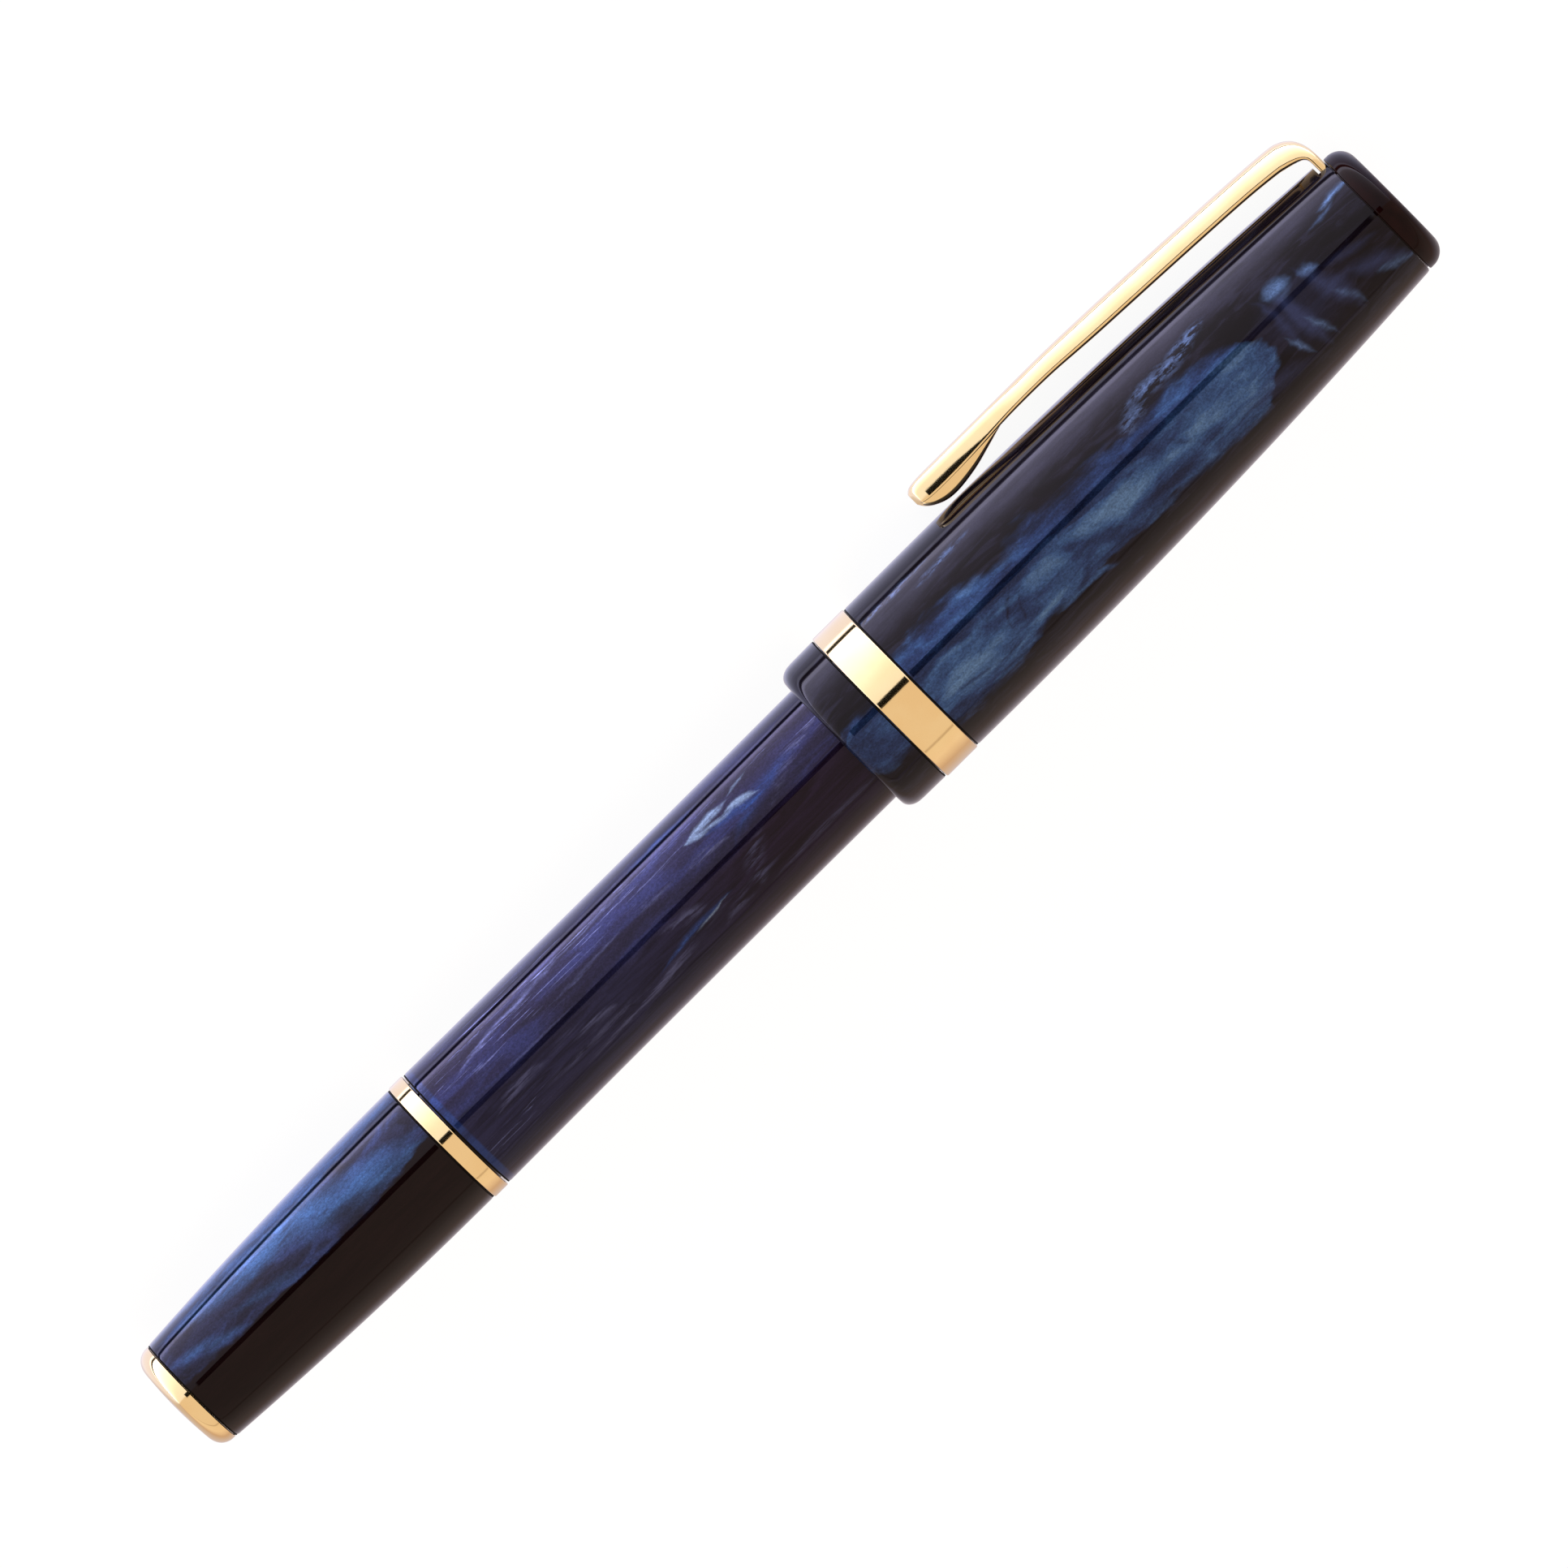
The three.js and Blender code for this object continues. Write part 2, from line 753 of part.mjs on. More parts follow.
// The arm is folded sheet: a channel, open underneath between the bend and the foot.
function clipArm() {
  const arm = solid(lofted(CLIP_SIDE.map((station) => clipSection(station))));
  const hollowed = CLIP_SIDE.slice(5, 13).map(([[outX, outZ], [inX, inZ]]) =>
    clipSection([[outX, outZ - CLIP_SHEET], [inX, inZ - 0.5]], 0.7),
  );
  return surface(arm.subtract(solid(lofted(hollowed))));
}

const INNER_CAP_RADIUS = 4.95;
const INNER_CAP_BORE = 4.45;
const INNER_CAP_END = 128.6;
const FLANGE_START = 126.3;
const RETAINER_END = 124;

function innerCap() {
  return turned(
    hollow(
      [
        [103, INNER_CAP_RADIUS],
        [FLANGE_START, INNER_CAP_RADIUS],
        [FLANGE_START, CAP_BORE - FIT],
        [INNER_CAP_END, CAP_BORE - FIT],
        [INNER_CAP_END, 0],
        [127.5, 0],
        [127.5, INNER_CAP_BORE],
      ],
      [[103, INNER_CAP_BORE]],
    ),
    FINE,
  );
}

function innerCapSeal() {
  const [from, to] = [GRIP_END + 0.2, 103 - GAP];
  return turned(
    hollow(
      [
        [from, INNER_CAP_RADIUS - 0.1],
        [to, INNER_CAP_RADIUS],
      ],
      [
        [from, INNER_CAP_BORE - 0.15],
        [to, INNER_CAP_BORE],
      ],
    ),
    FINE,
  );
}

// The ring that keeps the sprung inner cap from coming out with the pen.
function innerCapRetainer() {
  const [from, to] = [RETAINER_END - 3, RETAINER_END];
  const outer = CAP_BORE - GAP;
  const bore = INNER_CAP_RADIUS + 0.18;
  return turned(hollow([[from, outer], [to, outer]], [[from, bore], [to, bore]]), FINE);
}

const SPRING_FROM = 129.2;
const SPRING_TO = 131;

function capSpring() {
  const turns = 2.5;
  const steps = 36;
  const points = Array.from({ length: steps + 1 }, (_, i) => {
    const a = (2 * Math.PI * turns * i) / steps;
    const x = SPRING_FROM + ((SPRING_TO - SPRING_FROM) * i) / steps;
    return new THREE.Vector3(x, 4.2 * Math.cos(a), 4.2 * Math.sin(a));
  });
  const wire = new THREE.Shape().absarc(0, 0, 0.22, 0, 2 * Math.PI);
  const path = new THREE.CatmullRomCurve3(points);
  return new THREE.ExtrudeGeometry(wire, {
    extrudePath: path,
    steps: 60,
    curveSegments: 3,
    bevelEnabled: false,
  });
}

function springSeat() {
  const outer = CAP_BORE - FIT;
  return turned(hollow([[131.4, outer], [132.1, outer]], [[131.4, 2.8], [132.1, 2.8]]), FINE);
}

// ---- The pen ----

const pen = new THREE.Group();

const body = new THREE.Group();
body.add(
  part("tail_jewel", tailJewel(), GOLD),
  part("tail_body", tailBody(), TAIL_RESIN),
  part("tail_ring", tailRing(), GOLD),
  part("barrel", barrelTube(), BARREL_RESIN),
  part("barrel_insert", barrelInsert(), BRASS),
  part("joint_ring", jointRing(), GOLD),
  part("grip_section", gripSection(), BARREL_RESIN),
  part("nib_housing", nibHousing(), BLACK_PLASTIC),
  part("feed", feed(), BLACK_PLASTIC),
  part("nib", nib(), GOLD),
  part("nib_tip", nibTip(), STEEL),
  part("converter_tube", converterTube(), CLEAR_PLASTIC),
  part("converter_collar", converterCollar(), STEEL),
  part("drive_bush", driveBush(), BLACK_PLASTIC),
  part("twist_knob", twistKnob(), BLACK_PLASTIC),
  part("piston_rod", pistonRod(), GREY_PLASTIC),
  part("piston_seal", pistonSeal(), SOFT_SEAL),
);

// The cap is built with its clip towards +Z.
const cap = new THREE.Group();
cap.add(
  part("cap_lip", capLip(), CAP_RESIN),
  part("cap_band", capBand(), GOLD),
  part("cap_tube", capTube(), CAP_RESIN),
  part("finial", finial(), DARK_RESIN),
  part("clip_ring", clipRing(), GOLD),
  part("clip", clipArm(), GOLD),
  part("inner_cap", innerCap(), BLACK_PLASTIC),
  part("inner_cap_seal", innerCapSeal(), SOFT_SEAL),
  part("inner_cap_retainer", innerCapRetainer(), BLACK_PLASTIC),
  part("cap_spring", capSpring(), STEEL),
  part("spring_seat", springSeat(), STEEL),
);

// The clip points this far below the horizontal: it touches the table with the edge of its top, at
// the end of its level stretch.
const LEVEL_END = 11; // that station of CLIP_SIDE
const [, contactY, contactZ] = clipSection(CLIP_SIDE[LEVEL_END])[2];
const clipDip = Math.asin(BAND_RADIUS / Math.hypot(contactZ, contactY)) - Math.atan2(contactY, contactZ);
cap.rotation.x = -(Math.PI / 2 + clipDip);

pen.add(body, cap);

// The origin is the centre of the pen's box, at the table.
const box = new THREE.Box3().setFromObject(pen, true);
pen.position.set(-LENGTH / 2, -(box.min.y + box.max.y) / 2, -box.min.z);

export default pen;
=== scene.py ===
"""A capped fountain pen in marbled resin with gold trim, lying on a pale floor."""
import json
import math

import bmesh
import bpy
from mathutils import Matrix, Vector


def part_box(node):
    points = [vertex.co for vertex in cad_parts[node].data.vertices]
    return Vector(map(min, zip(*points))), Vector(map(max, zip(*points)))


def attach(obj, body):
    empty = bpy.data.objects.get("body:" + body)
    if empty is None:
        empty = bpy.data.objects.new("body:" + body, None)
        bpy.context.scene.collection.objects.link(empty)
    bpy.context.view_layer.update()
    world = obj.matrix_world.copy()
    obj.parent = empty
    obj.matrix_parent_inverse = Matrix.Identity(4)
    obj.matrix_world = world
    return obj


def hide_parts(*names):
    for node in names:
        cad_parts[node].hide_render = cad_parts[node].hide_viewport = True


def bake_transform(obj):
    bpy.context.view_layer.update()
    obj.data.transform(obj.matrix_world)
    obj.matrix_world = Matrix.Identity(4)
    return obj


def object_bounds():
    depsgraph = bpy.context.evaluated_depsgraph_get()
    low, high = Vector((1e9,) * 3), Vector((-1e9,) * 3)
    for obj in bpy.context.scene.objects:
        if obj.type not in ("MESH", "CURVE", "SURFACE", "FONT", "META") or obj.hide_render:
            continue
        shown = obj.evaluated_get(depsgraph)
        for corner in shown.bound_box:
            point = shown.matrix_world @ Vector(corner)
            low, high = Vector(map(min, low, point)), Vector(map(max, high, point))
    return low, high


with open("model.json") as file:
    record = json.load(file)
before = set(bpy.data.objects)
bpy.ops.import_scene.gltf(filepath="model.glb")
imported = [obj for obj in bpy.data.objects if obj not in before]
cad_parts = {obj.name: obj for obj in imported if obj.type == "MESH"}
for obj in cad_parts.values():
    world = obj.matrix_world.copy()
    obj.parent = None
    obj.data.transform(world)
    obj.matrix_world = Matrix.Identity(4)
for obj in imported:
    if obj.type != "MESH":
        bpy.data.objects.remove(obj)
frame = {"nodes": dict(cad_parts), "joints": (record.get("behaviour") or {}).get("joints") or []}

CAD_BOX = [list(corner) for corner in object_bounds()]
MM = 0.001
JOINTS = {joint["name"]: joint for joint in frame["joints"]}

# ---- The pen's own frame ----
# along: tail to cap top. facing: square to the axis and to the clip, where the camera looks from.
# clipward: from the axis towards the clip.
ALONG = Vector((1, 0, 0))
FACING = -Vector(JOINTS["clip_flex"]["axis"]).normalized()
CLIPWARD = FACING.cross(ALONG)
AXIS = Vector((CAD_BOX[0][0], *JOINTS["cap_turn"]["pos_m"][1:]))


def at(x, facing, clipward):
    """A point from millimetres along the pen and off its axis."""
    return AXIS + (ALONG * x + FACING * facing + CLIPWARD * clipward) * MM


def span(node):
    """Where a CAD node starts and ends along the pen, in millimetres from the tail."""
    low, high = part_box(node)
    return (low.x - AXIS.x) / MM, (high.x - AXIS.x) / MM


# ---- Sizes, in millimetres ----

JEWEL_END = span("tail_body")[0] - 0.03
RING = span("tail_ring")
BARREL = span("barrel")
LIP = span("cap_lip")
BAND = span("cap_band")
FINIAL_END = span("finial")[1]
CAP_END = span("cap_tube")[1]

TAIL_START, TAIL_END = JEWEL_END + 0.05, RING[0] - 0.03
CAP_START = BAND[1] + 0.06

TAIL_RADIUS, TAIL_TAPER = 6.02, 0.96
BARREL_RADIUS, BARREL_FLARE = 5.96, 0.07
BARREL_WAIST, BARREL_HALF = 57, 25
CAP_RADIUS, CAP_TAPER, CAP_FULLEST = 7.67, 1.47, 90.2
LIP_RADIUS, LIP_SLOPE, LIP_BACK = 7.57, 0.012, 7.62
BAND_RADIUS, BAND_BORE, RING_RADIUS = 7.73, 7.0, 6.1
JEWEL_RADIUS, FINIAL_RADIUS = 5.02, 6.14
GRIP_WAIST, GRIP_SWELL, GRIP_FLARE = 4.76, 0.68, 0.3
THREAD_PITCH, THREAD_STARTS, THREAD_CREST = 0.8, 2, 0.28
GROOVE, GROOVE_DEPTH = 0.15, 0.12


def tail_radius(x):
    return TAIL_RADIUS - TAIL_TAPER * ((RING[0] - x) / (RING[0] - JEWEL_END)) ** 2


def barrel_radius(x):
    return BARREL_RADIUS + BARREL_FLARE * ((x - BARREL_WAIST) / BARREL_HALF) ** 2


def cap_radius(x):
    return CAP_RADIUS - CAP_TAPER * ((x - CAP_FULLEST) / (CAP_END - CAP_FULLEST)) ** 2


def grip_radius(x):
    back = GRIP_SWELL * (max(0, 98.6 - x) / 9.9) ** 1.7
    front = GRIP_FLARE * (max(0, x - 98.2) / 3.1) ** 2
    return GRIP_WAIST + back + front


# ---- Mesh helpers ----

SHARP = math.radians(34)
MERGE = 2e-7  # metres


def new_object(name, data):
    obj = bpy.data.objects.new(name, data)
    bpy.context.scene.collection.objects.link(obj)
    return obj


def mesh_object(name, points, faces):
    """A mesh object from points in metres, with smooth faces and its hard edges kept sharp."""
    mesh = bpy.data.meshes.new(name)
    mesh.from_pydata([tuple(p) for p in points], [], faces)
    tidy(mesh)
    return new_object(name, mesh)


def tidy(mesh):
    """Merge doubled points, turn faces outwards, and mark hard edges."""
    work = bmesh.new()
    work.from_mesh(mesh)
    bmesh.ops.remove_doubles(work, verts=work.verts, dist=MERGE)
    bmesh.ops.recalc_face_normals(work, faces=work.faces)
    for face in work.faces:
        face.smooth = True
    for edge in work.edges:
        edge.smooth = edge.calc_face_angle(0) < SHARP
    work.to_mesh(mesh)
    work.free()


def grid_faces(rows, count, closed_rows=False):
    """Quads between rows of points, each row a closed ring of count points."""
    faces = []
    for row in range(rows if closed_rows else rows - 1):
        below, above = row * count, ((row + 1) % rows) * count
        for i in range(count):
            j = (i + 1) % count
            faces.append((below + i, below + j, above + j, above + i))
    return faces


def capped_faces(rows, count):
    """The faces of a tube of rows, with one face across each end."""
    last = (rows - 1) * count
    return grid_faces(rows, count) + [tuple(range(count)), tuple(range(last, last + count))]


def thread_wave(x, angle):
    """The height of a rounded helical thread, from 0 to 1."""
    turns = x / THREAD_PITCH - THREAD_STARTS * angle / (2 * math.pi)
    return 0.5 - 0.5 * math.cos(2 * math.pi * turns)


def turned(name, outline, sides=128, wave=thread_wave):
    """A body turned about the pen's axis from (x, radius) points. An outline that doesn't start and
    end on the axis is closed on itself. A third number is how far the wave stands out there."""
    points = []
    for x, radius, *crest in outline:
        for side in range(sides):
            angle = 2 * math.pi * side / sides
            r = radius + (crest[0] * wave(x, angle) if crest else 0)
            points.append(at(x, r * math.cos(angle), r * math.sin(angle)))
    on_axis = outline[0][1] == 0
    return mesh_object(name, points, grid_faces(len(outline), sides, not on_axis))


def along(start, end, steps, radius_at):
    """Outline points on a curve from one x to another."""
    places = [start + (end - start) * i / steps for i in range(steps + 1)]
    return [(x, radius_at(x)) for x in places]


def rounded(cx, cr, radius, start, end, steps, stretch=1):
    """Points of an arc between two angles in degrees."""
    points = []
    for i in range(steps + 1):
        a = math.radians(start + (end - start) * i / steps)
        points.append((cx + radius * stretch * math.cos(a), cr + radius * math.sin(a)))
    return points


def threaded(start, end, radius, crest):
    """Outline rows that carry a thread, fading in and out over a pitch at each end. The crest is
    how far it stands out, and is below zero in a bore."""
    steps = round((end - start) / THREAD_PITCH * 8)
    rows = []
    for i in range(steps + 1):
        x = start + (end - start) * i / steps
        fade = min(1, (x - start) / THREAD_PITCH, (end - x) / THREAD_PITCH)
        rows.append((x, radius, crest * fade))
    return rows


def ring_outline(start, end, outer, bore, bevel=0.12):
    """A plain ring with its outer edges rounded."""
    return [
        (start, bore),
        *rounded(start + bevel, outer - bevel, bevel, 180, 90, 4),
        *rounded(end - bevel, outer - bevel, bevel, 90, 0, 4),
        (end, bore),
    ]


def shoulder(end, seat, radius):
    """A shallow step beside a metal ring, from the surface at seat down to its face at end."""
    inner = radius - GROOVE_DEPTH
    return [(seat, radius - 0.03), (seat, inner), (end, inner)]


def carve(obj, points, faces):
    """Cut a closed shape out of a mesh."""
    cutter = mesh_object("cutter", points, faces)
    modifier = obj.modifiers.new("cut", "BOOLEAN")
    modifier.operation = "DIFFERENCE"
    modifier.solver = "EXACT"
    modifier.object = cutter
    evaluated = obj.evaluated_get(bpy.context.evaluated_depsgraph_get())
    old, obj.data = obj.data, bpy.data.meshes.new_from_object(evaluated)
    obj.modifiers.clear()
    bpy.data.meshes.remove(old)
    bpy.data.objects.remove(cutter)
    tidy(obj.data)
    return obj


BOX_FACES = [(0, 1, 3, 2), (4, 6, 7, 5), (0, 4, 5, 1), (2, 3, 7, 6), (0, 2, 6, 4), (1, 5, 7, 3)]


def box_points(x_range, facing_range, clip_range):
    return [at(x, f, c) for x in x_range for f in facing_range for c in clip_range]


def paint(obj, material):
    obj.data.materials.clear()
    obj.data.materials.append(material)


def fit(obj, body, material, slot, *nodes):
    """Give a piece its material and its body, and hide the CAD nodes that it stands for."""
    paint(obj, material)
    if body:
        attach(obj, body)
    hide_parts(*nodes)


# ---- Material helpers ----


class Nodes:
    """The node tree of a material or a world, with short calls for the nodes it is made of."""

    def __init__(self, owner):
        self.owner = owner
        owner.use_nodes = True
        self.tree = owner.node_tree

    def add(self, kind, inputs=(), **settings):
        node = self.tree.nodes.new("ShaderNode" + kind)
        for key, value in settings.items():
            setattr(node, key, value)
        for socket, value in dict(inputs).items():
            self.set(node.inputs[socket], value)
        return node

    def set(self, socket, value):
        if isinstance(value, bpy.types.NodeSocket):
            self.tree.links.new(value, socket)
        elif value is not None:
            socket.default_value = value

    def math(self, operation, a, b=None, clamp=False):
        node = self.add("Math", {0: a, 1: b}, operation=operation, use_clamp=clamp)
        return node.outputs[0]

    def times(self, a, b, clamp=False):
        return self.math("MULTIPLY", a, b, clamp)

    def plus(self, a, b, clamp=False):
        return self.math("ADD", a, b, clamp)

    def vector(self, operation, a, b=None):
        node = self.add("VectorMath", {0: a, 1: b}, operation=operation)
        return node.outputs["Value" if operation in ("DOT_PRODUCT", "LENGTH") else "Vector"]

    def combine(self, x, y, z):
        return self.add("CombineXYZ", {0: x, 1: y, 2: z}).outputs[0]

    def stretch(self, vector, scale):
        return self.vector("MULTIPLY", vector, scale)

    def noise(self, vector, scale, detail, roughness=0.5, color=False):
        sockets = {"Vector": vector, "Scale": scale, "Detail": detail, "Roughness": roughness}
        node = self.add("TexNoise", sockets)
        return node.outputs["Color" if color else "Fac"]

    def ramp(self, value, low, high, to_low=0, to_high=1, smooth=True):
        """Value remapped from low..high, held at the ends."""
        kind = "SMOOTHSTEP" if smooth else "LINEAR"
        sockets = {0: value, 1: low, 2: high, 3: to_low, 4: to_high}
        return self.add("MapRange", sockets, interpolation_type=kind).outputs[0]

    def mix(self, factor, a, b):
        node = self.add("Mix", data_type="RGBA")
        self.set(node.inputs[0], factor)
        self.set(node.inputs[6], a)
        self.set(node.inputs[7], b)
        return node.outputs[2]

    def gradient(self, value, stops):
        """A colour from value along stops of (position, colour)."""
        node = self.add("ValToRGB", {0: value})
        elements = node.color_ramp.elements
        for position, colour in stops[2:]:
            elements.new(position)
        for element, (position, colour) in zip(elements, stops):
            element.position = position
            element.color = colour
        return node.outputs[0]

    def bump(self, height, strength, distance):
        sockets = {"Strength": strength, "Distance": distance, "Height": height}
        return self.add("Bump", sockets).outputs[0]

    def pen_point(self):
        """The shaded point in millimetres in the pen's frame: (x, facing, clipward)."""
        place = self.add("TexCoord").outputs["Object"]
        offset = self.vector("SUBTRACT", place, tuple(AXIS))
        self.parts = [
            self.vector("DOT_PRODUCT", offset, tuple(direction / MM))
            for direction in (ALONG, FACING, CLIPWARD)
        ]
        return self.combine(*self.parts)

    def finish(self, **sockets):
        """Set the shader's sockets by name, with spaces written as underscores."""
        shader = self.tree.nodes["Principled BSDF"]
        for name, value in sockets.items():
            self.set(shader.inputs[name.replace("_", " ")], value)
        return self.owner


def material_nodes(name):
    return Nodes(bpy.data.materials.new(name))


def srgb(r, g, b):
    """A linear colour from 0 to 255 values as seen on a screen."""
    def linear(v):
        v = v / 255
        return v / 12.92 if v <= 0.04045 else ((v + 0.055) / 1.055) ** 2.4
    return (linear(r), linear(g), linear(b), 1)


# ---- Marbled resin ----


class Marble:
    """Pearl pigment folded through dark resin. The layers lie on the pen's own surface, at x along
    it and s round it, in millimetres; s is 0 on the facing line and grows away from the clip."""

    def __init__(self, name, radius, wander=0.5):
        self.n = n = material_nodes(name)
        self.point = point = n.pen_point()
        x, facing, clipward = n.parts
        angle = n.math("ARCTAN2", n.times(clipward, -1), facing)
        place = n.combine(x, n.times(angle, radius), 0)
        slow = n.noise(n.stretch(point, (0.5, 1, 1)), 0.3, 2, color=True)
        fine = n.noise(n.stretch(point, (0.6, 1, 1)), 1.4, 3, color=True)
        self.place = self.moved(place, slow, wander * 4)
        self.place = self.moved(self.place, fine, wander * 1.6)

    def moved(self, place, colour, amount):
        """A place moved by a noise colour, by up to half of amount either way."""
        offset = self.n.stretch(self.n.vector("SUBTRACT", colour, (0.5,) * 3), (amount,) * 3)
        return self.n.vector("ADD", place, offset)

    def lens(self, x, s, length, width, soft, blunt, turn=0, bend=0):
        """1 inside a lens, falling to 0 at its edge; blunt fills out its ends, and bend curves it."""
        n = self.n
        sockets = {
            "Vector": self.place,
            "Location": (x, s, 0),
            "Rotation": (0, 0, math.radians(turn)),
            "Scale": (length, width, 1),
        }
        mapped = n.add("Mapping", sockets, vector_type="TEXTURE").outputs[0]
        u, v, _ = n.add("SeparateXYZ", {0: mapped}).outputs
        squared = n.times(u, u)
        if bend:
            v = n.math("SUBTRACT", v, n.times(squared, bend))
        end = n.times(squared, squared) if blunt else squared
        core = n.math("SUBTRACT", n.math("SUBTRACT", 1, end), n.math("ABSOLUTE", v))
        return n.ramp(core, 0, soft)

    def lenses(self, rows, soft=1.0, blunt=False):
        """The sum of lenses given as (x, s, length, width, weight, turn, bend)."""
        n = self.n
        total = None
        for x, s, length, width, weight, *curve in rows:
            part = n.times(self.lens(x, s, length, width, soft, blunt, *curve), weight)
            total = part if total is None else n.plus(total, part)
        return total

    def swirl(self, stretch, size, fold, detail=3):
        """Silky layers drawn out along the pen and folded over; size is in millimetres."""
        n = self.n
        drawn = n.stretch(self.point, (stretch, 1, 1))
        first = n.noise(drawn, 0.6 / size, 2, color=True)
        once = self.moved(drawn, first, fold)
        second = n.noise(once, 0.8 / size, 2, color=True)
        twice = self.moved(drawn, second, fold * 1.6)
        return n.noise(twice, 1 / size, detail, 0.55)

    def fibres(self, stretch, scale):
        """Fine straight streaks along the pen."""
        n = self.n
        bend = n.noise(n.stretch(self.point, (0.1, 0.4, 0.4)), 0.6, 2, color=True)
        drawn = self.moved(n.stretch(self.point, (stretch, 1, 1)), bend, 1.2)
        return n.noise(drawn, scale, 4, 0.65)

    def lay(self, colour, tint, rows, fray, soft=1.3):
        """A colour with a tint laid over it inside lenses broken up by fray, and their mask."""
        mask = self.n.times(self.lenses(rows, soft), fray, clamp=True)
        return self.n.mix(mask, colour, tint), mask

    def broken(self, mask, noise, depth):
        """A mask whose edge is frayed by a noise."""
        n = self.n
        frayed = n.plus(mask, n.times(n.math("SUBTRACT", noise, 0.5), depth))
        return n.ramp(frayed, 0.22, 0.72)


GRAIN_SCALE = 6.0
COAT_IOR = 1.25


def resin(marble, colour, pearl, mirror=0.78):
    """Finish a marbled resin: pearl is how much of the flake lies at the surface, and mirror how
    mirror-like that flake is."""
    n = marble.n
    grain = n.noise(n.stretch(marble.point, (0.7, 1, 1)), GRAIN_SCALE, 2, 0.7)
    sparkle = n.ramp(grain, 0.36, 0.7, -0.25, 0.35, smooth=False)
    gain = n.plus(n.times(sparkle, n.ramp(pearl, 0, 0.6, 0.3, 1)), 1)
    lit = n.vector("SCALE", colour)
    n.set(lit.node.inputs["Scale"], gain)
    smear = n.noise(n.stretch(marble.point, (0.2, 1, 1)), 0.9, 3, 0.6)
    return n.finish(
        Base_Color=lit,
        Metallic=n.ramp(pearl, 0, 1, 0.35, mirror, smooth=False),
        Roughness=n.ramp(smear, 0.3, 0.7, 0.05, 0.09),
        Specular_IOR_Level=0.0,
        Coat_Weight=1.0,
        Coat_Roughness=0.015,
        Coat_IOR=COAT_IOR,
    )


